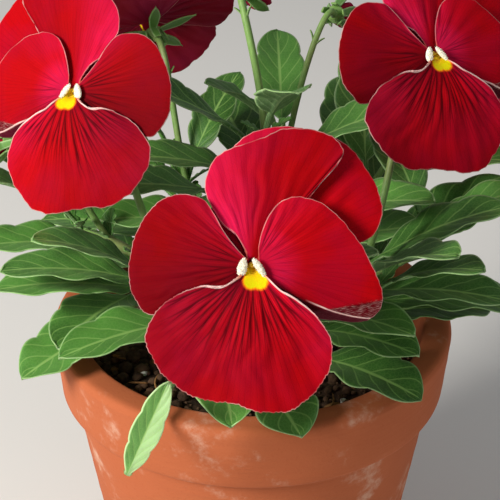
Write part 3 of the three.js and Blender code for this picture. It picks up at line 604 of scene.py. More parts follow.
def fitted_leaf(stem, curve, number, k, room):
    """The k-th leaf of a stem: as it would grow with all the room it wants, or else the first that is clear of
    those that turn or lift away from it, or are smaller."""
    share = k / (LEAVES_ON_STEM - 1)
    seed = 10 * number + k
    side = 1 if k % 2 else -1
    start = bezier(curve, LOWEST_LEAF + (1 - LOWEST_LEAF) * share)
    turn = stem.azimuth + 78 * side * (1 - 0.62 * share) + 40 * (draw(seed) - 0.5) + (150 if k == 0 else 0)
    lift = 4 + 42 * share + 14 * (draw(seed + 0.3) - 0.5)
    petiole = 21 - 11 * share + 5 * draw(seed + 0.5)
    length = 27 + 9 * math.sin(math.pi * share) + 6 * draw(seed + 0.7)
    half = 10.4 - 3 * share + draw(seed + 0.9)
    turns = (0, 16, -16, 34, -34, 55, -55, 80, -80, 110, -110, 145)
    for size, more, aside in product((1, 0.8), (0, 14, -12, 28), turns):
        leave = heading(turn + aside, lift + more + PETIOLE_BEND)
        forward = heading(turn + aside, lift + more)
        bend = start + leave * 0.55 * petiole * size
        base = bend + forward * 0.55 * petiole * size
        leaf = make_leaf(start, bend, base, forward, length * size, half * size)
        if is_clear(leaf, number, room):
            return leaf
    return None


def rising_leaf(curve):
    """The long-stalked narrow leaf that stands up beside the first flower and faces the same way."""
    tip = np.array([-23.0, -85.1, 133.5])
    length = 28
    forward = heading(-18, 69)
    base = tip - forward * length
    bend = base - forward * 8
    return make_leaf(bezier(curve, 0.5), bend, base, forward, length, 4.0, facing=heading(*FLOWERS[0].facing))


def grown_plant():
    """Gives every flower and bud its basis and stalk, and gives back the stems' curves and each stem's leaves, which
    are fitted in the same order as in the part's source."""
    curves = [stem_curve(stem) for stem in STEMS]
    points, owners = [], []

    def take(found, owner):
        points.append(np.atleast_2d(found))
        owners.append(np.full(len(points[-1]), owner))

    for item in FLOWERS + BUDS:
        item.basis = frame_of(item)
        item.place = np.asarray(item.place, float)
    for f in FLOWERS:
        f.stalk = stalk_curve(curves[f.stem], f.leaves_at, f.basis, f.place, -10 * f.size, 13 * f.size)
        take(bezier(f.stalk, np.arange(19) / 18), f.stem)
    for b in BUDS:
        take([b.place + b.basis[:, 2] * z for z in (-4, 0, 5, 10, BUD_LENGTH)], -1)
        b.stalk = stalk_curve(curves[b.stem], b.leaves_at, b.basis, b.place, -2.2, 9)
        take(bezier(b.stalk, np.arange(19) / 18), b.stem)
    for number, curve in enumerate(curves):
        take(bezier(curve, np.arange(15) / 14), number)
    leaves = []
    for number, (stem, curve) in enumerate(zip(STEMS, curves)):
        grown = [rising_leaf(curve)] if number == RISING_LEAF_STEM else []
        for leaf in grown:
            take(leaf_samples(leaf), number)
        for k in range(LEAVES_ON_STEM):
            room = SimpleNamespace(points=np.concatenate(points), owners=np.concatenate(owners))
            leaf = fitted_leaf(stem, curve, number, k, room)
            if leaf:
                take(leaf_samples(leaf), number)
                grown.append(leaf)
        leaves.append(grown)
    return curves, leaves


STEM_CURVES, LEAVES = grown_plant()


# Shapes of the pieces, each as one or more closed shells.


def pot_shell():
    """The pot's wall turned from its profile: every corner a little rounded, and the clay a little uneven."""
    corners = [
        (0, 0), (POT_BASE_RADIUS - 1, 0), (POT_BASE_RADIUS, 1.2), (NECK_RADIUS, BAND_START),
        (POT_RIM_RADIUS - RIM_FLARE, BAND_START + 0.8), (POT_RIM_RADIUS, POT_HEIGHT - 1.6),
        (POT_RIM_RADIUS - 1.4, POT_HEIGHT), (float(inner_radius(POT_HEIGHT)), POT_HEIGHT),
        (float(inner_radius(BAND_START)), BAND_START), (float(inner_radius(POT_WALL)), POT_WALL), (0, POT_WALL),
    ]
    profile = filled_in(rounded(corners, 1.5, 5), 3.0)
    made = turned_shell(profile, 160)
    p = made.points
    r = np.hypot(p[:, 0], p[:, 1])
    wobble = 0.14 * lumps(p, 17, 3) + 0.05 * np.sin(2 * np.pi * p[:, 2] / 2.1 + 2 * lumps(p, 30, 9))
    share = 1 + wobble * smooth((r - 30) / 8) * smooth(p[:, 2] / 3) / np.maximum(r, 1)
    p[:, :2] *= share[:, None]
    return made


def soil_height(x, y):
    """The soil's smooth crown: a dome 3 mm high with a slow swell."""
    r = np.hypot(x, y) / inner_radius(SOIL_LEVEL)
    return SOIL_LEVEL + 3 * (1 - r * r) + 0.9 * np.sin(0.19 * x + 1.3) * np.cos(0.23 * y - 0.4)


def rough_soil_height(x, y):
    """The crown with crumbs of three sizes pressed into it, fading out at the pot's wall."""
    p = np.stack([x, y], axis=-1)
    edge = smooth((inner_radius(SOIL_LEVEL) - np.hypot(x, y)) / 5)
    crumbs = 1.1 * lumps(p, 6.5, 1) + 0.7 * lumps(p, 2.9, 5) + 0.45 * lumps(p, 1.4, 8)
    return soil_height(x, y) + crumbs * (0.35 + 0.65 * edge) - 0.8 * (1 - edge)


def soil_shell():
    """The soil from its floor up the pot's inner wall and over its rough top."""
    rim = float(inner_radius(SOIL_LEVEL)) - FIT_GAP
    turn = circle(240)
    floor = POT_WALL + FIT_GAP
    sides = [(float(inner_radius(floor)) - FIT_GAP, floor), (float(inner_radius(BAND_START)) - FIT_GAP, BAND_START)]
    top = around(rim * np.linspace(1, 0.01, 80)[:, None], turn, 0.0)
    top[..., 2] = rough_soil_height(top[..., 0], top[..., 1])
    rings = np.concatenate([np.stack([around(r, turn, z) for r, z in sides]), top])
    return rings_shell(rings, UP * floor, UP * top[-1, :, 2].mean())


def pebble(seed, slot):
    """A lumpy ball of three rings of six points, each pushed in or out, and up or down, by a draw."""
    n = np.arange(18).reshape(3, 6)
    z = np.array([-0.62, 0.05, 0.66])[:, None] + 0.42 * (draw(n + seed + 0.4) - 0.5)
    turn = np.arange(6) * np.pi / 3 + 0.5 * (draw(n + seed + 0.7) - 0.5)
    r = np.sqrt(1 - np.clip(z, -0.8, 0.8) ** 2) * (0.6 + 0.7 * draw(n + seed))
    return rings_shell(around(r, turn, z), -UP, UP, slot)


def scattered(count, seed, sizes, flat, slot, sunk):
    """Crumbs lying on the soil: evenly drawn over its disc, and of drawn size, spin and tilt. sizes are the smallest
    and the largest, flat is a crumb's height as a share of its size, and sunk the share of it that is in the soil."""
    n = np.arange(count)
    radius = CRUMB_REACH * np.sqrt(draw(n + seed))
    turn = 2 * np.pi * draw(n + seed + 0.37)
    size = sizes[0] + (sizes[1] - sizes[0]) * draw(n + seed + 0.61) ** 2.5
    x, y = radius * np.cos(turn), radius * np.sin(turn)
    lean = np.stack([draw(n + seed + 0.11) - 0.5, draw(n + seed + 0.83) - 0.5, 0.8 + 0 * size], axis=1)
    scale = np.stack([size, size * (0.55 + 0.45 * draw(n + seed + 0.29)), size * flat], axis=1)
    bases = bases_along(lean, 2 * np.pi * draw(n + seed + 0.47)) * scale[:, None, :]
    places = np.stack([x, y, rough_soil_height(x, y) + size * flat * (1 - sunk)], axis=1)
    return copies(pebble(seed, slot), bases, places, tint=draw(n + seed + 0.53))


def root_fibre(k):
    """A short bent fibre lying on the soil."""
    radius, turn = FIBRE_REACH * math.sqrt(draw(k + 900.2)), 2 * math.pi * draw(k + 901.4)
    length, aim = 5 + 8 * draw(k + 902.6), 2 * math.pi * draw(k + 903.1)
    t = np.linspace(-0.5, 0.5, 9)
    bend = 1.6 * (draw(k + 904.9) - 0.5) * (4 * t * t - 1)
    x = radius * math.cos(turn) + length * t * math.cos(aim) - length * 0.4 * bend * math.sin(aim)
    y = radius * math.sin(turn) + length * t * math.sin(aim) + length * 0.4 * bend * math.cos(aim)
    path = np.stack([x, y, soil_height(x, y) + 1.5 + 0.7 * draw(k + 905.3)], axis=1)
    return tube_shell(path, 0.32 * (1 - 1.6 * t * t), 5, 2, tint=draw(k + 906.0))


def leaf_shell(leaf, age):
    """One leaf. Its margin has blunt teeth, its rib stands out below, the blade swells between sunken side veins
    and waves towards its edge, and its stalk is a thick strap with a shallow channel."""
    s = np.concatenate([np.linspace(-1, 0, 12)[:-1], np.linspace(0, 1, 36) ** 0.95])[:, None]
    q = np.linspace(-1, 1, 15)[None]
    blade = np.clip(s, 0, 1)
    teeth = 0.84 + 0.16 * np.abs(np.sin(LEAF_TEETH * np.pi * blade)) ** 0.6
    strap = PETIOLE_HALF_WIDTH * (1 + 0.8 * smooth((-0.82 - s) / 0.18)) * (1 - smooth(blade / 0.3))
    width = np.hypot(strap, leaf.half * leaf_half_width(blade) * teeth) + 0.04
    x = width * q
    middle = leaf_points(leaf, s, x)
    softer = LEAF_FOLD * (np.sqrt(x * x + 0.35) - 0.59 - np.abs(x)) * smooth(4 * s)
    phase = SIDE_VEINS * (blade - SIDE_VEIN_LEAN * np.abs(q))
    quilt = 0.34 * (np.abs(np.sin(np.pi * phase)) ** 0.7 - 0.55) * smooth(np.abs(q) / 0.22) * smooth(6 * s)
    wave = 0.55 * np.sin(2 * np.pi * (2.6 * s + age) + np.sign(q)) * q ** 2 * smooth(3 * s) * leaf.half / 10
    channel = 0.3 * q * q * (1 - smooth(5 * (s + 0.1)))
    normal = unit(np.cross(np.gradient(middle, axis=1), np.gradient(middle, axis=0)))
    middle = middle + normal * (softer + quilt * (1 - q ** 6) + wave + channel)[..., None]
    rib = 0.75 * np.exp(-(x / 0.5) ** 2) * (1 - 0.8 * blade)
    on_blade = 0.42 - 0.18 * np.abs(q) ** 3 + rib
    on_stalk = 1.35 - 0.75 * q ** 2
    thickness = on_stalk + (on_blade - on_stalk) * smooth(8 * (s + 0.06))
    middle = middle - normal * (0.5 * rib * smooth(6 * s))[..., None]
    return sheet_shell(middle, thickness, LEAF_SLOTS, along=s, across=q, age=age, inset=width * (1 - np.abs(q)))


def lobed_blade(start, aim, facing, length, half, lobes, slots, age):
    """A small leafy flap from start along aim: its width swells and narrows lobes times towards a blunt tip."""
    right = unit(np.cross(aim, facing))
    normal = unit(np.cross(right, aim))
    s = np.linspace(0, 1, 24)[:, None]
    q = np.linspace(-1, 1, 9)[None]
    lobe = 0.42 + 0.58 * np.abs(np.sin(lobes * np.pi * s)) ** 0.8 if lobes else 1.0
    x = (half * 1.9 * (s + 0.03) ** 0.5 * (1.001 - s) ** 0.5 * lobe + 0.03) * q
    rise = 0.35 * np.abs(x) - 0.18 * length * s * s
    middle = start + aim * (length * s)[..., None] + right * x[..., None] + normal * rise[..., None]
    return sheet_shell(middle, 0.36 - 0.12 * q * q, slots, along=s, across=q, age=age, inset=np.max(x) - np.abs(x))


def stipule_shells(leaf, k):
    """The pair of lobed stipules at a leaf's foot, one on each side of its stalk."""
    leave = unit(leaf.petiole[1] - leaf.start)
    made = []
    for side in (-1, 1):
        aim = unit(0.75 * leave + side * 0.75 * leaf.right + 0.35 * UP)
        facing = unit(UP + 0.5 * leave)
        length = 8.5 + 3 * float(draw(k + 0.3 + side))
        made.append(lobed_blade(leaf.start + aim * 0.8, aim, facing, length, 2.3, 3.5, LEAF_SLOTS, 0.4))
    return made


def stem_shell(curve, leaf_shares):
    """A five-ridged stem with a slight swelling at each leaf and a closed, narrower tip."""
    t = np.linspace(0, 1, 72)
    swell = sum(0.2 * np.exp(-((t - share) / 0.014) ** 2) for share in leaf_shares)
    taper = (1 - 0.35 * smooth((t - 0.75) / 0.25)) * np.sqrt(1 - smooth((t - 0.985) / 0.02) * 0.8)
    radius = STEM_RADIUS * (1 + swell) * taper
    ridge = 1 + 0.055 * np.cos(5 * circle(20))
    return tube_shell(bezier(curve, t), radius[:, None] * ridge[None], 20, SKIN_SLOT, along=t, age=0.3)


def stalk_shells(item):
    """A flower's or bud's stalk, fluted, a little thicker where it ends, with two tiny bracts two thirds up."""
    t = np.linspace(0, 1, 44)
    flute = 1 + 0.05 * np.cos(4 * circle(12))
    radius = STALK_RADIUS * (0.95 + 0.25 * smooth((t - 0.86) / 0.14))
    made = [tube_shell(bezier(item.stalk, t), radius[:, None] * flute[None], 12, SKIN_SLOT, along=t, age=0.8)]
    place = bezier(item.stalk, 0.58)
    aim = bezier_tangent(item.stalk, 0.58)
    side = unit(np.cross(aim, item.basis[:, 2]))
    for k, sign in enumerate((-1, 1)):
        foot = place + side * sign * 0.7 + aim * 0.8 * k
        made.append(lobed_blade(foot, unit(aim + 0.45 * sign * side), side * -sign, 3.4, 0.6, 0, SEPAL_SLOTS, 0.6))
    return made


def sepal_shell(turn, place, table, rows):
    """One sepal: a narrow green blade with a pale edge, widened by a table of [s, half width], on place(s, x)."""
    s = np.linspace(0, 1, rows)[:, None]
    q = np.linspace(-1, 1, 9)[None]
    steps = np.asarray(table, float)
    half = np.interp(s, steps[:, 0], steps[:, 1])
    ahead = np.interp(np.clip(s + 0.05, 0, 1), steps[:, 0], steps[:, 1])
    half = np.sqrt(np.maximum(half, 0.002) * (ahead + 0.02))
    x = half * q
    r, z = place(s)
    cos, sin = math.cos(math.radians(turn)), math.sin(math.radians(turn))
    z = z - 0.08 * x * x
    middle = np.stack([r * cos - x * sin, r * sin + x * cos, z + 0 * x], axis=-1)
    inset = half * (1 - np.abs(q))
    return sheet_shell(middle, 0.62 - 0.3 * q * q, SEPAL_SLOTS, along=s, across=q, age=0.5, inset=inset)


def open_calyx():
    """The green back of an open flower, in its own frame: a top-shaped receptacle and five sepals, each with an ear
    that points back past it."""
    def line(s):
        ear = np.maximum(0, 0.3 - s) / 0.3
        r = np.where(s < 0.3, 2.9 + 1.1 * ear, 2.9 + (SEPAL_REACH - 2.9) * (s - 0.3) / 0.7)
        return r, np.where(s < 0.3, -8.1 - 4.6 * ear, -8.1 - 4.4 * (r / FACE_RADIUS) ** 2)

    profile = rounded([(0, -11.3), (1.5, -11.2), (2.4, -9.6), (3.4, -8.2), (3.3, -7.7), (0, -7.6)], 0.9, 6)
    made = [turned_shell(profile, 24, SKIN_SLOT, centre=(0, THROAT[1]), along=0.5, age=0.6)]
    table = [(0, 1.15), (0.15, 1.35), (0.3, 1.2), (0.5, 1.75), (0.68, 2.1), (0.85, 1.35), (1, 0)]
    for turn in SEPAL_TURNS:
        sepal = sepal_shell(turn, line, table, 26)
        sepal.points[:, 1] += THROAT[1]
        made.append(sepal)
    return made


def bud_calyx():
    """The green cup of a bud, in its own frame: a receptacle and five sepals that close round the petals."""
    def line(s):
        ear = np.maximum(0, 0.25 - s) / 0.25
        up = np.clip(s - 0.25, 0, 1) / 0.75
        r = np.where(s < 0.25, 2.6 + 0.9 * ear, 2.6 + 2.5 * np.sin(np.pi * 0.62 * up))
        return r, np.where(s < 0.25, 0.2 - 4 * ear, 0.2 + 10 * up)

    profile = rounded([(0, -2.8), (1.4, -2.7), (2.2, -1.6), (3, -0.5), (2.8, -0.1), (0, 0)], 0.8, 6)
    made = [turned_shell(profile, 24, SKIN_SLOT, along=0.5, age=0.6)]
    table = [(0, 0.85), (0.15, 1.1), (0.28, 1.15), (0.5, 1.55), (0.65, 1.6), (0.85, 1.0), (1, 0)]
    return made + [sepal_shell(turn, line, table, 24) for turn in SEPAL_TURNS]


def stalk_hairs(leaf, length, seed):
    """Sparse tapering hairs on the underside and edges of a leaf's stalk, each leaning a little by a draw."""
    if length <= 0:
        return []
    n = np.arange(HAIRS_ON_STALK)
    s = -0.95 + 0.93 * draw(n + seed + 0.15)
    q = np.where(draw(n + seed + 0.25) < 0.5, -1.0, 1.0)
    points = leaf_points(leaf, s, q * PETIOLE_HALF_WIDTH * 0.96)
    out = leaf.right * q[:, None] + leaf.normal * (draw(n + seed + 0.35) - 0.6)[:, None]
    path = np.array([[0, 0, 0], [0.04, 0, 0.55], [0.16, 0, 1.0]])
    hair = tube_shell(path, np.array([1.0, 0.75, 0.3]) * HAIR_RADIUS / length, 3, SKIN_SLOT)
    off = np.stack([draw(n + seed + k) - 0.5 for k in (0.1, 0.4, 0.7)], axis=1)
    size = length * (0.7 + 0.6 * draw(n + seed + 0.9))
    bases = bases_along(unit(out) + 0.5 * off, 2 * np.pi * draw(n + seed + 0.2)) * size[:, None, None]
    return [copies(hair, bases, points, age=0.2)]


def eye_depth(x, y):
    """How far inside the yellow eye a point is, in mm: the eye is three discs, two of them its lower lobes."""
    return np.max([r - np.hypot(x - cx, y - cy) for cx, cy, r in EYE_DISCS], axis=0)


def petal_depth(petal, x, y, u, v, out):
    """A petal's depth, as in the part's source: from its root to its level over the first 5 mm, less a bow with the
    square of the reach, a swell near the throat, waves that grow to the margin, the folded corner and the edge that
    turns under. With it come how far each point is past the fold, and how far it is inside the crease."""
    reach = np.hypot(x, y) / FACE_RADIUS
    z = petal.root + (petal.level - petal.root) * smooth(out / 5) - petal.bow * reach ** 2
    z = z + petal.swell * np.sin(np.pi * np.minimum(1, out / 24))
    z = z + petal.ruffle * v ** 3 * np.sin(np.pi * u) * np.sin(2 * np.pi * petal.waves * u)
    if petal.name != "right":
        return z, 0.0, 9.0
    below = np.maximum(0, FOLD.y + FOLD.slope * (x - FOLD.x) - y)
    run = x - CREASE.x
    inside = y - CREASE.y - CREASE.slope * run - CREASE.bend * run * (run - CREASE.span)
    return z - FOLD.steepness * below - CREASE.steepness * np.maximum(0, -inside), below, inside


def painted_sheen_share(amounts, u, distance):
    """How much painted sheen a petal has, a pink where light grazes its velvet: the largest of an amount that fades
    from its first side to its middle, one that fades from its last side, and one that fades outwards from the throat."""
    first, last, near = amounts
    sides = np.maximum(first * smooth((0.55 - u) / 0.35), last * smooth((u - 0.62) / 0.3))
    return np.maximum(sides, near * smooth((14 - distance) / 9))


def edge_distance(flat, line):
    """How far each point of a grid is from the nearest stretch of a line, in mm."""
    start, step = line[:-1], np.diff(line, axis=0)
    offset = flat[..., None, :] - start
    share = np.clip((offset * step).sum(axis=-1) / np.maximum((step ** 2).sum(axis=-1), 1e-9), 0, 1)
    return np.linalg.norm(offset - share[..., None] * step, axis=-1).min(axis=-1)


def petal_shell(petal, rows, columns, thickness, seed):
    """One petal as a sheet between the arc round the throat and its margin. Low pleats fan out from the throat, the
    margin is finely scalloped, and the sheet thins towards it. Where the pale margin widens it is rolled into a
    bead."""
    u = np.linspace(0, 1, columns)[None]
    v = (1 - (1 - np.linspace(0, 1, rows)) ** 1.35)[:, None]
    turn = np.radians(petal.arc[0] + (petal.arc[1] - petal.arc[0]) * u)
    inner = THROAT_ARC * np.stack([np.cos(turn), np.sin(turn)], axis=-1) + THROAT
    margin = catmull(petal.margin, u)
    ray = margin - inner
    length = np.linalg.norm(ray, axis=-1)
    aside = np.stack([-ray[..., 1], ray[..., 0]], axis=-1) / length[..., None]
    bend = catmull([(h, 0) for h in petal.hug], u)[..., 0] * np.sign(petal.arc[1] - petal.arc[0])
    spans = len(petal.margin) - 1
    scallop = sum(a * np.sin(2 * np.pi * f * spans * u + 9 * draw(seed + f)) for a, f in MARGIN_SCALLOPS)
    scallop = scallop * smooth(u / 0.2) * smooth((1 - u) / 0.25) * (1.0 if petal.name == "lower" else 0.5)
    flat = inner + ray * v[..., None] + aside * (bend * np.sin(np.pi * v ** 0.8))[..., None]
    landing = ray - aside * (0.8 * np.pi * bend)[..., None]
    flat = flat + unit(landing) * (scallop * smooth((v - 0.8) / 0.2))[..., None]
    x, y = flat[..., 0], flat[..., 1]
    z, below, inside = petal_depth(petal, x, y, u, v, v * length)
    from_throat = flat - THROAT
    distance = np.linalg.norm(from_throat, axis=-1)
    sweep = np.arctan2(from_throat[..., 1], from_throat[..., 0]) - math.radians(sum(petal.arc) / 2)
    sweep = np.mod(sweep + np.pi, 2 * np.pi) - np.pi
    pleats = 0.17 * np.sin(21 * sweep + 2.5 * lumps(flat, 9, seed))
    pleats = pleats + 0.09 * np.sin(47 * sweep + 3 * lumps(flat, 6, seed + 4))
    pleats = pleats * smooth((distance - 4.5) / 9) + 0.45 * lumps(flat, 12, seed + 7) * smooth(distance / 14)
    if petal.name == "upper_front":
        creases = np.sin((u - 0.7) * 2 * np.pi / 0.045) * smooth((u - 0.68) / 0.05) * smooth((0.9 - u) / 0.08)
        pleats = pleats + 0.4 * creases * smooth((distance - 16) / 8)
    edge = np.concatenate([flat[:1, 0], flat[-1, ::max(1, columns // 110)], flat[-1, -1:], flat[:1, -1]])
    rim = edge_distance(flat, edge)
    widen = petal.pale_ends[0] * smooth((0.17 - u) / 0.08) + petal.pale_ends[1] * smooth((u - 0.8) / 0.07)
    bead = smooth(1 - rim / 0.8) * np.minimum(1, widen / 0.2)
    wall = thickness * (0.45 + 0.55 * smooth(rim / 1.6)) + 0.3 * bead + 0.25 * smooth(1 - distance / 5)
    # The pink field carries painted sheen, and the deep field painted shade.
    values = {
        "sweep": sweep, "reach": distance, "rim": rim / (petal.pale + widen), "fold": below, "crease": inside,
        "pink": painted_sheen_share(petal.pink, u, distance), "petal": 7.3 * seed,
        "deep": petal.deep[0] + (petal.deep[1] - petal.deep[0]) * smooth(u / 0.8 - 0.1),
        "rolled": np.minimum(1, widen / 0.15), "eye": eye_depth(x, y) if petal.name == "lower" else -9.0,
        "streak": petal.streaks * smooth(1.25 - distance / petal.streak_reach),
    }
    middle = np.stack([x, y, z + pleats + 0.4 * bead], axis=-1)
    if petal.arc[1] > petal.arc[0]:
        middle, wall = middle[:, ::-1], wall[:, ::-1]
        values = {k: np.broadcast_to(value, x.shape)[:, ::-1] for k, value in values.items()}
    return sheet_shell(middle, wall, (0, 1, 0), **values)


def throat_cup():
    """The cup that the petals' claws make round the throat. Its rim is lowest where the upper petals cover it, and
    its inside narrows like a funnel whose end lies towards them, so that its lower side slopes out to the eye. Its
    upper half is red, as the petals there are."""
    profile = [(0, -7.3), (2.7, -7.3), (2.95, -2.4), (2.3, -1.7), (1.9, -1.9), (1.2, -3.3), (1.1, -6.6), (0, -6.6)]
    cup = turned_shell(rounded(profile, 0.4, 5), 40, 2, centre=tuple(THROAT), rim=9, eye=-9, reach=15, streak=0.2)
    x, y, z = cup.points.T
    inside = smooth((2.25 - np.hypot(x, y - THROAT[1])) / 0.5) * smooth((z + 6.7) / 0.2)
    cup.points[:, 1] += 0.65 * inside * smooth((-1.9 - z) / 1.4)
    cup.points[:, 2] -= smooth((z + 5.5) / 3.5) * np.maximum(0, y - THROAT[1] + 0.6) / 3.5 * 2.3
    wall = cup.faces[0]
    upper = cup.points[wall][..., 1].mean(axis=1) > THROAT[1] + 0.7
    cup.faces = [wall[~upper], wall[upper]] + cup.faces[1:]
    cup.slots = [2, 1, 2, 2]
    return cup


def spur_shell():
    """The blunt spur behind the lower petal."""
    t = np.linspace(0, 1, 24)
    path = bezier([(0, -1.5, -4), (0, -5.7, -6.3), (0, -6.5, -14)], t)
    radius = 1.25 * np.sqrt(np.clip(1 - (np.maximum(t - 0.86, 0) / 0.145) ** 2, 0.01, 1))
    return tube_shell(path, radius, 16, 1, rim=9, eye=-9, reach=15, streak=0.2)


def beard_shells(x, y, tilt, half_width, half_length, taper, hairs, seed):
    """A pad of short blunt hairs on a side petal's foot: a low egg-shaped cushion, and hairs that stand close on
    it."""
    n = np.arange(hairs)
    ball = ball_shell(11, 0.96, 20, 3, tint=0.7)
    size = np.array([half_width, half_length, 0.75])
    lift = 0.1 + 0.9 * draw(n + seed)
    on_ball = around(np.sqrt(1 - lift ** 2), 2 * np.pi * draw(n + seed + 0.5), lift)
    path = np.array([[0, 0, 0], [0.03, 0, 0.5], [0.08, 0, 1.0]])
    hair = tube_shell(path, np.array([0.3, 0.3, 0.16]), 4, 3)
    aim = unit(on_ball / size) + np.array([0.0, 0.1, 0.3])
    length = 0.22 + 0.1 * draw(n + seed + 0.8)
    bases = bases_along(aim, 2 * np.pi * draw(n + seed + 0.3)) * length[:, None, None]
    pad = shell(ball.points * size, ball.faces, ball.slots, **ball.fields)
    tuft = [pad, copies(hair, bases, on_ball * size * 0.95, tint=0.8 + 0.4 * draw(n + seed + 0.6))]
    angle = math.radians(tilt)
    basis = np.array([[math.cos(angle), -math.sin(angle), 0], [math.sin(angle), math.cos(angle), 0], [0, 0, 1]])
    for part in tuft:
        part.points[:, 0] *= 1 - taper * part.points[:, 1] / half_length
    return [moved(part, basis, (x, y, -0.55)) for part in tuft]


def corolla_shells(rows, columns, thickness, seed):
    """A whole open flower without its pistil, in its own frame."""
    made = []
    for k, petal in enumerate(PETALS):
        fine = int(LOWER_COLUMNS * columns) if petal.name == "lower" else columns
        made.append(petal_shell(petal, rows, fine, thickness, 17 * k + seed))
    made += [throat_cup(), spur_shell()]
    hairs = int(0.045 * rows * columns)
    made += beard_shells(-2.65, 0.3, tilt=-13, half_width=1.12, half_length=2.35, taper=0.22, hairs=hairs, seed=11)
    made += beard_shells(1.6, 0.05, tilt=35, half_width=0.78, half_length=2.85, taper=-0.12, hairs=hairs, seed=47)
    return made


def style_shells():
    """The pistil: a round ovary, a thin style and a swollen head with a hollow in its end, and five anthers that
    lean together round it."""
    corners = [(0, -6.3), (0.85, -6.3), (0.9, -5.7), (0.5, -4.8), (0.4, -4.0), (0.55, -3.2), (0.78, -2.6),
               (0.72, -2.0), (0.42, -1.65), (0.2, -1.75), (0, -2.0)]
    head = turned_shell(rounded(corners, 0.5, 6), 28, 0, centre=(-0.3, 0.75))
    turn = circle(5) + 0.3
    places = around(0.78, turn, -4.1) + np.array([-0.2, 0.7, 0.0])
    bases = bases_along(around(-0.16, turn, 1.0), turn) * np.array([0.3, 0.42, 1.1])
    return [head, copies(ball_shell(7, 0.95, 10, 1), bases, places)]


def bud_shell(seed):
    """The furled petals of a bud: a pointed egg whose five pleats wind round it."""
    points = [(1.2, 0.1), (1.9, 0.2), (3.3, 3.4), (3.9, 7), (3, 11.4), (1.3, 14.2), (0.3, 14.9)]
    line = catmull(points, np.linspace(0, 1, 44))
    turn = circle(90)
    r, z = line[:, :1], line[:, 1:]
    phase = 5 * turn - 0.25 * z
    pleat = 1 - (0.12 * np.cos(phase) + 0.05 * np.sin(2 * phase) + 0.02 * np.sin(5 * phase)) * smooth((z - 3.4) / 4)
    values = {"sweep": turn, "reach": z + 4, "rim": 9, "eye": -9, "streak": 0.5, "petal": 7.3 * seed}
    return rings_shell(around(r * pleat, turn, z), UP * 0.05, UP * BUD_LENGTH, 0, **values)


# The finishes of petals, leaves, stems, soil and clay. Patterns are given by the size of their grain in mm.


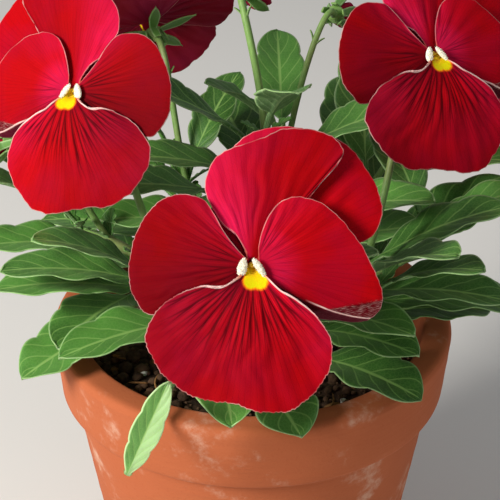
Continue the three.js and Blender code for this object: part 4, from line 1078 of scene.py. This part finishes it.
def petal_material(name, colours, dull):
    """Fresh pansy petal. Its skin is covered by minute domed cells, so it has no gloss but a soft bloom of light at
    grazing angles. Dark guide lines run out from the throat and fork, finer ones lie between them, and the eye is
    yellow with an orange edge. A dull one is the underside, where the lines show faintly and the red is paler."""
    material, node = new_material(name)
    fields = ("sweep", "reach", "rim", "rolled", "eye", "streak", "petal", "fold", "crease", "pink", "deep")
    sweep, reach, rim, rolled, eye, streak, petal, fold, crease, pink, deep = (
        node("Attribute", attribute_name=field, output="Fac") for field in fields)
    place = node("TexCoord", output="Object")
    warp = node("TexNoise", place, Scale=grain(7), Detail=2.0)
    # Each sector round the throat holds one guide line. It forks twice, at a reach that a draw for its sector
    # shifts, so the sectors' count and the reach of the forks set how close the lines lie.
    crowd = node("Math", sweep, petal, **PLUS)
    spread = node("TexNoise", W=crowd, Scale=2.2, Detail=0.0, noise_dimensions="1D")
    bend = node("Math", warp, 0.14, node("Math", spread, 0.9, petal, **TIMES_PLUS), **TIMES_PLUS)
    across = node("Math", sweep, LINES_PER_RADIAN, bend, **TIMES_PLUS)
    chance = node("TexWhiteNoise", W=node("Math", across, operation="ROUND"), noise_dimensions="1D")
    gap = node("Math", across, 0.5, **ZIGZAG)
    for shift, first, last, opening in ((-6.0, 1.0, 10.0, 0.25), (9.0, 17.0, 30.0, 0.125)):
        late = node("Math", chance, shift, reach, **TIMES_PLUS)
        fork = node("MapRange", late, first, last, 0.0, opening, **SOFT)
        gap = node("Math", node("Math", gap, fork, **LESS), **ABSOLUTE)
    aside = node("Math", node("Math", gap, reach, **TIMES), LINES_PER_RADIAN, **OVER)
    left = node("Math", chance, -0.3, streak, **TIMES_PLUS)
    lasting = node("MapRange", left, 0.0, 0.5)
    half = node("MapRange", lasting, To_Min=0.3 * GUIDE_HALF_WIDTH, To_Max=GUIDE_HALF_WIDTH)
    part = node("Math", aside, half, **OVER)
    line = node("MapRange", part, 0.5, 1.7, 0.3 if dull else 0.76, 0.0, **SOFT)
    mouth = node("MapRange", reach, 3.0, 8.0, 0.45, 1.0, **SOFT)
    guide = node("Math", line, node("Math", lasting, mouth, **TIMES), **TIMES)
    # Fine lines fill the rest. They are drawn twice as wide as real ones, so that they show.
    thread = node("Math", sweep, FINE_LINES_PER_RADIAN, bend, **TIMES_PLUS)
    arc = node("Math", node("Math", thread, 0.5, **ZIGZAG), reach, **TIMES)
    line = node("MapRange", arc, 0.5, 3.5, 1.0, 0.0, **SOFT)
    faint = node("Math", streak, 0.26, 0.07 if dull else 0.17, **TIMES_PLUS)
    seldom = node("MapRange", warp, 0.35, 0.6, 0.4, 1.0)
    fine = node("Math", node("Math", line, seldom, **TIMES), faint, **TIMES)
    dark = node("Math", guide, fine, **LARGER)
    # Ground colour: two reds in soft clouds, with painted sheen in pink and painted shade in the lines' dark red where
    # the petal's fields say so, and a painted highlight of lighter red on the ridges between the guide lines.
    clouds = node("TexNoise", place, Scale=grain(13), Detail=2.0)
    base = node("Mix", node("MapRange", clouds, 0.38, 0.66), colours.red, colours.magenta, **COLOUR)
    tinge = node("MapRange", clouds, 0.3, 0.6, 0.55, 1.0)
    # Painted sheen: the pink field mixes in the pink, where grazing light would show the velvet.
    base = node("Mix", node("Math", tinge, pink, **TIMES), base, colours.pink, **COLOUR)
    # Painted shade: the deep field darkens the red towards the lines' colour.
    base = node("Mix", deep, base, colours.line, **COLOUR)
    # Painted highlight on the ridges between the lines, less where the painted shade lies.
    middle = node("MapRange", aside, 0.25, 0.75, 0.0, 0.1 if dull else 0.5)
    rich = node("MapRange", deep, To_Min=1.0, To_Max=0.0)
    high = node("Math", node("Math", middle, rich, **TIMES), streak, **TIMES)
    ridged = node("Mix", high, base, colours.ridge, **COLOUR)
    lined = node("Mix", dark, ridged, colours.line, **COLOUR)
    # The folded corner has painted highlights, pale strokes where light grazes its fine hairs, with a grain of 0.2 mm
    # across the fold and 1.4 mm outwards, over painted shade that darkens the fold. Past the crease the petal has
    # painted shade, and the crease itself a pale stripe of painted highlight.
    strokes = node("CombineXYZ", node("Math", fold, 5.0, **TIMES), node("Math", reach, 0.7, **TIMES))
    stroke = node("TexNoise", strokes, Scale=1.0, Detail=3.0, noise_dimensions="2D")
    seen = node("MapRange", stroke, 0.5, 0.72, 0.0, 0.55)
    turned = node("MapRange", fold, 0.0, 0.5, 0.0, 0.72, **SOFT)
    ground = node("Mix", turned, lined, colours.line, **COLOUR)
    folded = node("Mix", node("Math", seen, turned, **TIMES), ground, colours.margin, **COLOUR)
    # Painted highlight along the crease.
    lit = node("MapRange", node("Math", crease, **ABSOLUTE), 0.06, 0.24, 0.95, 0.0, **SOFT)
    stripe = node("Math", lit, node("MapRange", reach, 15.5, 19.0), **TIMES)
    # Painted shade past the crease.
    under = node("MapRange", crease, -0.6, 0.1, 0.95, 0.0, **SOFT)
    shaded = node("Mix", under, folded, colours.line, **COLOUR)
    creased = node("Mix", stripe, shaded, colours.margin, **COLOUR)
    # The eye's edge is drawn in a little by the guide lines that run into it. In small clouds its yellow turns to gold,
    # and towards the throat painted shade turns it to gold as well.
    notched = node("Math", guide, -0.1, eye, **TIMES_PLUS)
    ring = node("Mix", node("MapRange", notched, -0.55, 0.1, 0.0, 0.8, **SOFT), creased, colours.ring, **COLOUR)
    inside = node("MapRange", notched, -0.15, 0.5, **SOFT)
    throat_shade = node("MapRange", reach, 2.2, 4.2, 0.5, 0.0)
    cloudy = node("MapRange", node("TexNoise", place, Scale=grain(0.8), Detail=1.0), 0.45, 0.75, 0.0, 0.22)
    yellow = node("Mix", node("Math", throat_shade, cloudy, **PLUS), colours.eye, colours.gold, **COLOUR)
    eyed = node("Mix", inside, ring, yellow, **COLOUR)
    # The pale margin is a painted highlight of the thin edge in the light. Where the margin is rolled it is nearly
    # white, and next to the throat it takes on the eye's yellow. Elsewhere the red shows through it, more or less.
    edge = node("MapRange", rim, 0.5, 1.2, 1.0, 0.0, **SOFT)
    solid = node("Math", node("MapRange", warp, 0.38, 0.62, 0.1, 0.48), rolled, **LARGER)
    fading = node("Math", edge, node("MapRange", under, To_Min=1.0, To_Max=0.1), **TIMES)
    throat = node("MapRange", reach, 4.2, 6.0, 0.7, 0.0)
    border = node("Mix", throat, colours.margin, colours.ring, **COLOUR)
    coloured = node("Mix", node("Math", fading, solid, **TIMES), eyed, border, **COLOUR)
    # The skin's cells are 0.03 mm across, drawn at 0.15 mm so that they show.
    skin = node("TexNoise", place, Scale=grain(0.15), Detail=1.0)
    outside = node("MapRange", inside, To_Min=1.0, To_Max=0.0)
    ridge = node("Math", node("Math", dark, outside, **TIMES), -1.6, skin, **TIMES_PLUS)
    bump = node("Bump", Strength=0.55, Distance=0.12 * METRE, Height=ridge)
    shader = node("BsdfPrincipled", Base_Color=coloured, Roughness=0.7, IOR=1.4, Specular_IOR_Level=0.06,
                  Subsurface_Weight=0.1, Subsurface_Radius=(1.0, 0.12, 0.1), Subsurface_Scale=0.8 * METRE,
                  Sheen_Weight=0.2, Sheen_Roughness=0.45, Sheen_Tint=colours.bloom, Normal=bump)
    node("OutputMaterial", shader)
    return material


def leaf_material(name, colours, under):
    """Pansy leaf. The upper face is a smooth mid green with paler sunken veins and a slight gloss; the underside is a
    greyer green with the veins standing out. The cut edge is a pale thickened rim, brighter on the young leaf, where it
    is partly a painted highlight."""
    material, node = new_material(name)
    along, across, age, inset = (
        node("Attribute", attribute_name=field, output="Fac") for field in ("along", "across", "age", "inset"))
    place = node("TexCoord", output="Object")
    side = node("Math", across, **ABSOLUTE)
    run = node("Math", along, node("Math", side, SIDE_VEIN_LEAN, **TIMES), **LESS)
    saw = node("Math", node("Math", run, SIDE_VEINS, **TIMES), 0.5, **ZIGZAG)
    vein = node("MapRange", saw, 0.015, 0.1, 0.55, 0.0, **SOFT)
    rib = node("MapRange", side, 0.02, 0.09, 0.85, 0.0, **SOFT)
    # The smallest veins enclose patches of about 1 mm and hardly show.
    patches = node("TexVoronoi", place, Scale=grain(1.0), feature="DISTANCE_TO_EDGE")
    net = node("MapRange", patches, 0.0, 0.14, 0.16, 0.0)
    lace = node("Math", node("Math", vein, rib, **LARGER), net, **LARGER)
    clouds = node("TexNoise", place, Scale=grain(11), Detail=3.0)
    tone = node("Math", age, 0.55, clouds, **TIMES_PLUS)
    grown = node("Mix", node("MapRange", tone, 0.35, 1.05), colours.deep, colours.fresh, **COLOUR)
    # A young leaf stands folded along its rib. Its halves are painted lit and shaded: the half that turns from the sky
    # has painted shade in a darker green, and the other painted light in the pale young green, partly its own colour.
    new = node("MapRange", age, 1.0, YOUNG)
    half = node("MapRange", across, YOUNG_SIDE * -0.03, YOUNG_SIDE * 0.08, 0.0, 0.9, **SOFT)
    young = node("Mix", half, colours.young, colours.fresh, **COLOUR)
    green = node("Mix", new, grown, young, **COLOUR)
    veined = node("Mix", lace, green, colours.vein, **COLOUR)
    # The pale rim is the edge's own colour at half strength; on the young leaf it is at full strength, partly a painted
    # highlight.
    edge = node("MapRange", inset, 0.2, 0.55, 0.85, 0.0, **SOFT)
    blade = node("MapRange", along, -0.1, 0.05)
    showing = node("MapRange", new, To_Min=0.5, To_Max=1.0)
    rimmed = node("Math", edge, node("Math", showing, blade, **TIMES), **TIMES)
    coloured = node("Mix", rimmed, veined, colours.edge, **COLOUR)
    pores = node("TexNoise", place, Scale=grain(0.35), Detail=2.0)
    height = node("Math", lace, 0.8 if under else -0.8, pores, **TIMES_PLUS)
    bump = node("Bump", Strength=0.4, Distance=0.1 * METRE, Height=height)
    gloss = node("MapRange", clouds, To_Min=0.62 if under else 0.4, To_Max=0.75 if under else 0.54)
    shader = node("BsdfPrincipled", Base_Color=coloured, Roughness=gloss, IOR=1.45,
                  Specular_IOR_Level=0.25 if under else 0.4, Subsurface_Weight=0.12,
                  Subsurface_Radius=(0.5, 1.0, 0.2), Subsurface_Scale=0.7 * METRE, Sheen_Weight=0.1,
                  Sheen_Roughness=0.5, Sheen_Tint=colours.edge, Normal=bump)
    node("OutputMaterial", shader)
    return material


def stem_material(name, colours):
    """Stem and stalk skin: a smooth pale green with fine darker lengthwise grain and a dull red flush."""
    material, node = new_material(name)
    place = node("TexCoord", output="Object")
    # The skin's cells stand in rows, with a grain of 0.7 mm across and 6 mm upwards.
    stretch = node("Mapping", place, Scale=(1.0, 1.0, 0.12))
    fibres = node("TexNoise", stretch, Scale=grain(0.7), Detail=2.0)
    patch = node("TexNoise", place, Scale=grain(14), Detail=1.0)
    green = node("Mix", fibres, colours.deep, colours.fresh, **COLOUR)
    flush = node("MapRange", patch, 0.52, 0.75, 0.0, 0.45)
    coloured = node("Mix", flush, green, colours.flush, **COLOUR)
    bump = node("Bump", Strength=0.35, Distance=0.1 * METRE, Height=fibres)
    shader = node("BsdfPrincipled", Base_Color=coloured, Roughness=0.5, IOR=1.45, Specular_IOR_Level=0.35,
                  Subsurface_Weight=0.1, Subsurface_Radius=(0.6, 1.0, 0.25), Subsurface_Scale=1.0 * METRE,
                  Sheen_Weight=0.1, Sheen_Roughness=0.5, Normal=bump)
    node("OutputMaterial", shader)
    return material


def speckled_material(name, dark, light, size, roughness, relief=0.3, soft=0.0):
    """A matt surface that varies between two colours at one grain size, with relief of the same grain. A soft one lets
    light in."""
    material, node = new_material(name)
    tint = node("Attribute", attribute_name="tint", output="Fac")
    specks = node("TexNoise", node("TexCoord", output="Object"), Scale=grain(size), Detail=4.0)
    blend = node("Math", tint, 0.5, specks, use_clamp=True, **TIMES_PLUS)
    colour = node("Mix", node("MapRange", blend, 0.32, 0.85), dark, light, **COLOUR)
    bump = node("Bump", Strength=relief, Distance=0.3 * size * METRE, Height=specks)
    shader = node("BsdfPrincipled", Base_Color=colour, Roughness=roughness, IOR=1.45, Specular_IOR_Level=0.3,
                  Subsurface_Weight=soft, Subsurface_Radius=(1.0, 0.95, 0.85),
                  Subsurface_Scale=0.6 * METRE, Normal=bump)
    node("OutputMaterial", shader)
    return material


def clay_material(name, colours):
    """Unglazed terracotta: orange red clay, mottled by the kiln, with fine lines left by turning, dark specks of
    grog and a thin white bloom of lime where water has dried, most of it low on the pot."""
    material, node = new_material(name)
    place = node("TexCoord", output="Object")
    kiln = node("TexNoise", place, Scale=grain(34), Detail=4.0, Roughness=0.55)
    body = node("Mix", kiln, colours.deep, colours.clay, **COLOUR)
    grog = node("TexNoise", place, Scale=grain(0.9), Detail=1.0)
    flecked = node("Mix", node("MapRange", grog, 0.62, 0.72, 0.0, 0.4), body, colours.deep, **COLOUR)
    cloud = node("TexNoise", place, Scale=grain(16), Detail=6.0, Roughness=0.68)
    low = node("MapRange", node("SeparateXYZ", place, output="Z"), 0.0, 60 * METRE, 0.14, 0.0)
    lime = node("MapRange", node("Math", cloud, low, **PLUS), 0.54, 0.76, 0.0, 0.5, **SOFT)
    limed = node("Mix", lime, flecked, colours.lime, **COLOUR)
    # Turning leaves lines about 1 mm apart, which run 27 mm round the pot before they fade.
    squash = node("Mapping", place, Scale=(0.04, 0.04, 1.0))
    turning = node("TexNoise", squash, Scale=grain(1.1), Detail=3.0)
    grit = node("Math", grog, 0.35, turning, **TIMES_PLUS)
    bump = node("Bump", Strength=0.5, Distance=0.35 * METRE, Height=grit)
    shader = node("BsdfPrincipled", Base_Color=limed, Roughness=0.88, IOR=1.5, Specular_IOR_Level=0.25, Normal=bump)
    node("OutputMaterial", shader)
    return material


# The settings that a user would change, and the operators that make the pieces.


def colour_setting(name, description, code):
    """A colour that is picked in the panel, with its default as an sRGB hex code."""
    return FloatVectorProperty(name=name, description=description, default=linear(code), subtype="COLOR", size=3,
                               min=0.0, max=1.0)


class PansyPotSettings(bpy.types.PropertyGroup):
    """The clay pot and what fills it."""
    clay: colour_setting("Clay", "Light tone of the fired clay", "B4643F")
    clay_deep: colour_setting("Deep clay", "Dark tone of the fired clay", "A4532F")
    lime: colour_setting("Lime bloom", "Dried lime on the clay", "DCC4AE")
    soil_dark: colour_setting("Damp soil", "Dark tone of the potting mix", "1E140D")
    soil_light: colour_setting("Dry soil", "Light tone of the potting mix", "5A4230")
    crumbs: IntProperty(name="Crumbs", description="Loose crumbs that lie on the soil", default=1200, min=0, max=2500)
    grit: IntProperty(name="Perlite", description="White grains of perlite in the soil", default=80, min=0, max=400)


class PansyLeafSettings(bpy.types.PropertyGroup):
    """The leaves and stems."""
    deep: colour_setting("Deep green", "Dark tone of the leaves", "274F1C")
    fresh: colour_setting("Fresh green", "Light tone of the leaves", "4F8434")
    # The young green is partly the youngest leaf's own tone and partly painted light on its lit half; its other half
    # takes the fresh green as painted shade.
    young: colour_setting("Young green", "Tone of the youngest leaf", "96B87C")
    vein: colour_setting("Veins", "Colour of the leaf veins", "86AD5C")
    edge: colour_setting("Leaf edge", "Colour of the cut edge of a leaf", "B9D59A")
    under: colour_setting("Underside", "Tone of the leaves' undersides", "6E9259")
    stem: colour_setting("Stems", "Light tone of stems and stalks", "86A85A")
    hair_length: FloatProperty(name="Hair length", description="Length of the hairs on stalks, in millimetres",
                               default=0.75, min=0.0, max=3.0)


class PansyFlowerSettings(bpy.types.PropertyGroup):
    """The flowers and buds."""
    red: colour_setting("Petal red", "Main colour of the petals", "AC0006")
    magenta: colour_setting("Petal magenta", "Cooler tone in the petals", "A2021A")
    # The pink is painted sheen, where grazing light would show the velvet.
    pink: colour_setting("Petal pink", "Pinker parts of the petals", "D6184C")
    # The ridge colour is a painted highlight between the guide lines.
    ridge: colour_setting("Ridges", "Lighter ridges between the guide lines", "DC0A1C")
    # The guide lines' dark red is also the colour of the painted shade on the petals.
    line: colour_setting("Guide lines", "Dark lines that run out from the throat", "380003")
    eye: colour_setting("Eye", "Yellow patch below the throat", "D0C606")
    ring: colour_setting("Ring round the eye", "Orange edge of the yellow eye", "F4700C")
    # The pale margin's colour is a painted highlight, and also paints the highlights on the folded corner and the
    # crease.
    margin: colour_setting("Pale margin", "Thin edge of each petal", "F0CAC2")
    beard: colour_setting("Beard", "Hairs beside the throat", "FFF8E0")
    bloom: colour_setting("Velvet bloom", "Light that the petals' skin gives back at grazing angles", "FF3C86")
    thickness: FloatProperty(name="Petal thickness", description="Thickness of a petal, in millimetres", default=0.42,
                             min=0.2, max=0.72)


class PansyStageSettings(bpy.types.PropertyGroup):
    """The floor, lights and camera, which are no part of the plant."""
    floor: colour_setting("Floor", "Colour of the floor", "E6E4DF")
    key: FloatProperty(name="Key light", description="Power of the main light", default=17.0, min=0.0, unit="POWER")
    fill: FloatProperty(name="Fill light", description="Power of the soft light from the other side", default=2.5,
                        min=0.0, unit="POWER")
    lens: FloatProperty(name="Lens", description="Focal length of the camera", default=130.0, min=20.0, max=300.0,
                        unit="CAMERA")


def grown_on(item, shells):
    """Shells in a flower's or bud's own frame, moved to its place."""
    return [moved(one, item.basis, item.place, item.size, item.mirror) for one in shells]


def rgb(colour):
    """A picked colour as three plain numbers."""
    return tuple(colour[:3])


def petal_colours(settings, **others):
    """The colours of a petal's finish, with some given as hex codes in place of the settings."""
    names = ("red", "magenta", "pink", "ridge", "line", "eye", "ring", "margin", "bloom")
    colours = {name: rgb(getattr(settings, name)) for name in names}
    colours.update({name: linear(code) for name, code in others.items()})
    # The gold serves the eye's clouds and the painted shade next to the throat.
    return SimpleNamespace(**colours, gold=linear("D8920C"))


def petal_underside(settings):
    """The finish of a petal's back, where its red is duller and its lines are paler."""
    colours = petal_colours(settings, red="A01424", magenta="A21C3E", pink="B03058", line="5C0A14")
    return petal_material("Velvety petal, underside", colours, True)


class PANSY_OT_pot(bpy.types.Operator):
    """Turns the clay pot and bores its drain holes"""
    bl_idname = "pansy.make_pot"
    bl_label = "Make pot"

    def execute(self, context):
        s = context.scene.pansy_pot
        colours = SimpleNamespace(clay=rgb(s.clay), deep=rgb(s.clay_deep), lime=rgb(s.lime))
        clay = clay_material("Terracotta, unglazed and turned", colours)
        pot = make_piece("clay_pot", [pot_shell()], [clay], "pot")
        z = np.array([-3.0, -2.9, 3 * POT_WALL, 3 * POT_WALL + 0.1])
        profile = np.stack([np.array([0, DRAIN_RADIUS, DRAIN_RADIUS, 0]), z], axis=1)
        turn = circle(DRAIN_HOLES) + np.pi / DRAIN_HOLES
        places = around(DRAIN_CIRCLE, turn, 0.0)[:, :2]
        bits = make_mesh("drain_bits", [turned_shell(profile, 40, 0, place) for place in places])
        bits.shade_flat()
        bit = bpy.data.objects.new("drain_bits", bits)
        context.scene.collection.objects.link(bit)
        bore = pot.modifiers.new("bore", "BOOLEAN")
        bore.object, bore.operation, bore.solver = bit, "DIFFERENCE", "EXACT"
        bored = bpy.data.meshes.new_from_object(pot.evaluated_get(context.evaluated_depsgraph_get()))
        if len(bored.vertices) < len(pot.data.vertices):
            raise RuntimeError("the drain holes weren't bored")
        pot.modifiers.clear()
        pot.data = bored
        bpy.data.objects.remove(bit)
        return {"FINISHED"}


class PANSY_OT_soil(bpy.types.Operator):
    """Fills the pot with potting mix, with crumbs, perlite, bark and fibres on top"""
    bl_idname = "pansy.make_soil"
    bl_label = "Make soil"

    def execute(self, context):
        s = context.scene.pansy_pot
        dark, light = rgb(s.soil_dark), rgb(s.soil_light)
        looks = [
            speckled_material("Potting mix, damp and crumbly", dark, light, 1.6, 0.95, relief=0.8),
            speckled_material("Perlite, puffed white grains", linear("B9B2A4"), linear("F1EEE6"), 0.5, 0.9),
            speckled_material("Bark and root fibre", linear("33200F"), linear("8A6238"), 1.2, 0.9),
        ]
        lying = [
            scattered(s.crumbs, seed=11.7, sizes=(0.5, 2.6), flat=0.75, slot=0, sunk=0.35),
            scattered(s.grit, seed=411.3, sizes=(0.4, 1.3), flat=0.9, slot=1, sunk=0.3),
            scattered(BARK_FLAKES, seed=703.1, sizes=(0.9, 3.0), flat=0.3, slot=2, sunk=0.1),
        ]
        fibres = [root_fibre(k) for k in range(ROOT_FIBRES)]
        make_piece("potting_soil", [soil_shell()] + lying + fibres, looks, "soil")
        return {"FINISHED"}


class PANSY_OT_leafy_stems(bpy.types.Operator):
    """Grows the leafy stems, with their leaves, stipules, flower stalks and sepals"""
    bl_idname = "pansy.make_leafy_stems"
    bl_label = "Make leafy stems"

    def execute(self, context):
        s = context.scene.pansy_leaf
        leaf = partial(SimpleNamespace, edge=rgb(s.edge), young=rgb(s.young))
        top = leaf(deep=rgb(s.deep), fresh=rgb(s.fresh), vein=rgb(s.vein))
        below = leaf(deep=linear("55784A"), fresh=rgb(s.under), vein=linear("A3BF86"))
        sepal = leaf(deep=linear("3C6A2C"), fresh=linear("6C9A48"), vein=linear("5A8640"))
        skin = SimpleNamespace(deep=linear("5F8541"), fresh=rgb(s.stem), flush=linear("7A5A48"))
        looks = [
            leaf_material("Leaf, waxy upper face", top, False),
            leaf_material("Leaf, matt underside", below, True),
            stem_material("Stem, smooth ridged skin", skin),
            leaf_material("Sepal, thin green blade", sepal, False),
        ]
        joints = LOWEST_LEAF + (1 - LOWEST_LEAF) * np.arange(LEAVES_ON_STEM) / (LEAVES_ON_STEM - 1)
        for number, (curve, leaves) in enumerate(zip(STEM_CURVES, LEAVES)):
            shells = [stem_shell(curve, joints)]
            for k, leaf in enumerate(leaves):
                rising = number == RISING_LEAF_STEM and k == 0
                age = YOUNG if rising else float(draw(50 * number + k + 0.4))
                shells.append(leaf_shell(leaf, age))
                shells += stipule_shells(leaf, 10 * number + k)
                shells += stalk_hairs(leaf, s.hair_length, 30 * number + k)
            for item in FLOWERS + BUDS:
                if item.stem == number:
                    shells += stalk_shells(item)
                    shells += grown_on(item, open_calyx() if item.opened else bud_calyx())
            make_piece(f"stem_{number + 1}_foliage", shells, looks, f"leafy_stem_{number + 1}")
        return {"FINISHED"}


class PANSY_OT_flowers(bpy.types.Operator):
    """Opens the five flowers, with their petals, throats, beards and spurs"""
    bl_idname = "pansy.make_flowers"
    bl_label = "Make flowers"

    def execute(self, context):
        s = context.scene.pansy_flower
        looks = [
            petal_material("Velvety petal, upper face", petal_colours(s), False),
            petal_underside(s),
            speckled_material("Throat, waxy yellow", linear("F4CC14"), linear("FFE828"), 1.5, 0.5, soft=0.6),
            speckled_material("Beard hair, cream", linear("FFF0D2"), rgb(s.beard), 1.2, 0.6, 0.05, 0.5),
        ]
        for number, item in enumerate(FLOWERS):
            rows, columns = OTHER_GRID if number else FIRST_GRID
            shells = grown_on(item, corolla_shells(rows, columns, s.thickness, 3.0 + number))
            make_piece(f"{item.name}_corolla", shells, looks, f"{item.name}_petals")
        return {"FINISHED"}


class PANSY_OT_pistils(bpy.types.Operator):
    """Sets a pistil with its anthers in each throat"""
    bl_idname = "pansy.make_pistils"
    bl_label = "Make pistils"

    def execute(self, context):
        looks = [
            speckled_material("Pistil, waxy golden green", linear("D0A81C"), linear("F4DC4C"), 0.8, 0.42, soft=0.12),
            speckled_material("Anther, orange and powdery", linear("B8641A"), linear("E59A34"), 0.4, 0.85),
        ]
        for item in FLOWERS:
            shells = grown_on(item, style_shells())
            make_piece(f"{item.name}_style", shells, looks, f"{item.name}_pistil")
        return {"FINISHED"}


class PANSY_OT_buds(bpy.types.Operator):
    """Furls the petals of the three buds"""
    bl_idname = "pansy.make_buds"
    bl_label = "Make buds"

    def execute(self, context):
        back = petal_underside(context.scene.pansy_flower)
        for number, item in enumerate(BUDS):
            shells = grown_on(item, [bud_shell(5.0 + number)])
            make_piece(f"{item.name}_furled", shells, [back], f"{item.name}_petals")
        return {"FINISHED"}


def add_area(name, place, aim, size, power, colour):
    """A square soft light at a place, turned to a point. Its size is in metres and its power in watts."""
    data = bpy.data.lights.new(name, "AREA")
    data.shape, data.size, data.energy, data.color = "SQUARE", size, power, colour
    light = bpy.data.objects.new(name, data)
    away = unit(np.asarray(place, float) - np.asarray(aim, float))
    right = unit(np.cross(UP, away))
    basis = np.stack([right, np.cross(away, right), away], axis=1)
    light.matrix_world = placed(basis, place)
    bpy.context.scene.collection.objects.link(light)


def placed(basis, place):
    """A matrix from a basis and a place in millimetres."""
    matrix = Matrix.Identity(4)
    for i in range(3):
        for j in range(3):
            matrix[i][j] = float(basis[i][j])
        matrix[i][3] = float(place[i]) * METRE
    return matrix


class PANSY_OT_stage(bpy.types.Operator):
    """Lays the floor, and sets the lights and the camera"""
    bl_idname = "pansy.make_stage"
    bl_label = "Make stage"

    def execute(self, context):
        s = context.scene.pansy_stage
        scene = context.scene
        scene.view_settings.view_transform = "Standard"
        card, node = new_material("Matt card, evenly pale")
        paper = node("BsdfPrincipled", Base_Color=rgb(s.floor), Roughness=0.95, Specular_IOR_Level=0.1)
        node("OutputMaterial", paper)
        mesh = bpy.data.meshes.new("floor")
        half = 3.0
        mesh.from_pydata([(-half, -half, 0), (half, -half, 0), (half, half, 0), (-half, half, 0)], [], [(0, 1, 2, 3)])
        mesh.materials.append(card)
        floor = bpy.data.objects.new("floor", mesh)
        scene.collection.objects.link(floor)
        world = bpy.data.worlds.new("studio")
        world.use_nodes = True
        world.node_tree.nodes.clear()
        sky = add_node(world.node_tree, "Background", Color=linear("E8EAEE"), Strength=0.3)
        add_node(world.node_tree, "OutputWorld", sky)
        scene.world = world
        hero = FLOWERS[0]
        right, up, forward = hero.basis.T
        eye = hero.place + forward * CAMERA_DISTANCE + right * CAMERA_SHIFT[0] + up * CAMERA_SHIFT[1]
        data = bpy.data.cameras.new("camera")
        data.lens, data.sensor_width, data.clip_start = s.lens, 36.0, 0.01
        camera = bpy.data.objects.new("camera", data)
        camera.matrix_world = placed(hero.basis, eye)
        scene.collection.objects.link(camera)
        scene.camera = camera
        key = hero.place - right * 780 + forward * 540 + UP * 240
        add_area("key_light", key, hero.place, size=0.34, power=s.key, colour=(1.0, 0.97, 0.93))
        fill = hero.place + right * 800 + forward * 700 + UP * 500
        add_area("fill_light", fill, hero.place, size=0.9, power=s.fill, colour=(0.95, 0.97, 1.0))
        return {"FINISHED"}


class PANSY_PT_panel(bpy.types.Panel):
    """The plant's settings and the buttons that make its pieces"""
    bl_idname = "PANSY_PT_panel"
    bl_label = "Potted pansy"
    bl_space_type = "VIEW_3D"
    bl_region_type = "UI"
    bl_category = "Pansy"

    def draw(self, context):
        for group, (_, operators) in GROUPS.items():
            box = self.layout.box()
            settings = getattr(context.scene, group)
            for key in settings.bl_rna.properties.keys():
                if key not in ("rna_type", "name"):
                    box.prop(settings, key)
            for operator in operators:
                box.operator(operator.bl_idname)


# For each group of settings: its key on the scene, its class, and the operators that it serves.
GROUPS = {
    "pansy_pot": (PansyPotSettings, (PANSY_OT_pot, PANSY_OT_soil)),
    "pansy_leaf": (PansyLeafSettings, (PANSY_OT_leafy_stems,)),
    "pansy_flower": (PansyFlowerSettings, (PANSY_OT_flowers, PANSY_OT_pistils, PANSY_OT_buds)),
    "pansy_stage": (PansyStageSettings, (PANSY_OT_stage,)),
}


def register():
    """Registers the settings, operators and panel, and hangs the settings on the scene."""
    for key, (settings, operators) in GROUPS.items():
        for kind in (settings, *operators):
            bpy.utils.register_class(kind)
        setattr(bpy.types.Scene, key, PointerProperty(type=settings))
    bpy.utils.register_class(PANSY_PT_panel)


def unregister():
    """Takes all of it away again."""
    bpy.utils.unregister_class(PANSY_PT_panel)
    for key, (settings, operators) in GROUPS.items():
        delattr(bpy.types.Scene, key)
        for kind in (*operators, settings):
            bpy.utils.unregister_class(kind)


def main():
    """Makes every piece and the stage."""
    register()
    bpy.ops.pansy.make_pot()
    bpy.ops.pansy.make_soil()
    bpy.ops.pansy.make_leafy_stems()
    bpy.ops.pansy.make_flowers()
    bpy.ops.pansy.make_pistils()
    bpy.ops.pansy.make_buds()
    bpy.ops.pansy.make_stage()


if __name__ == "__main__":
    main()
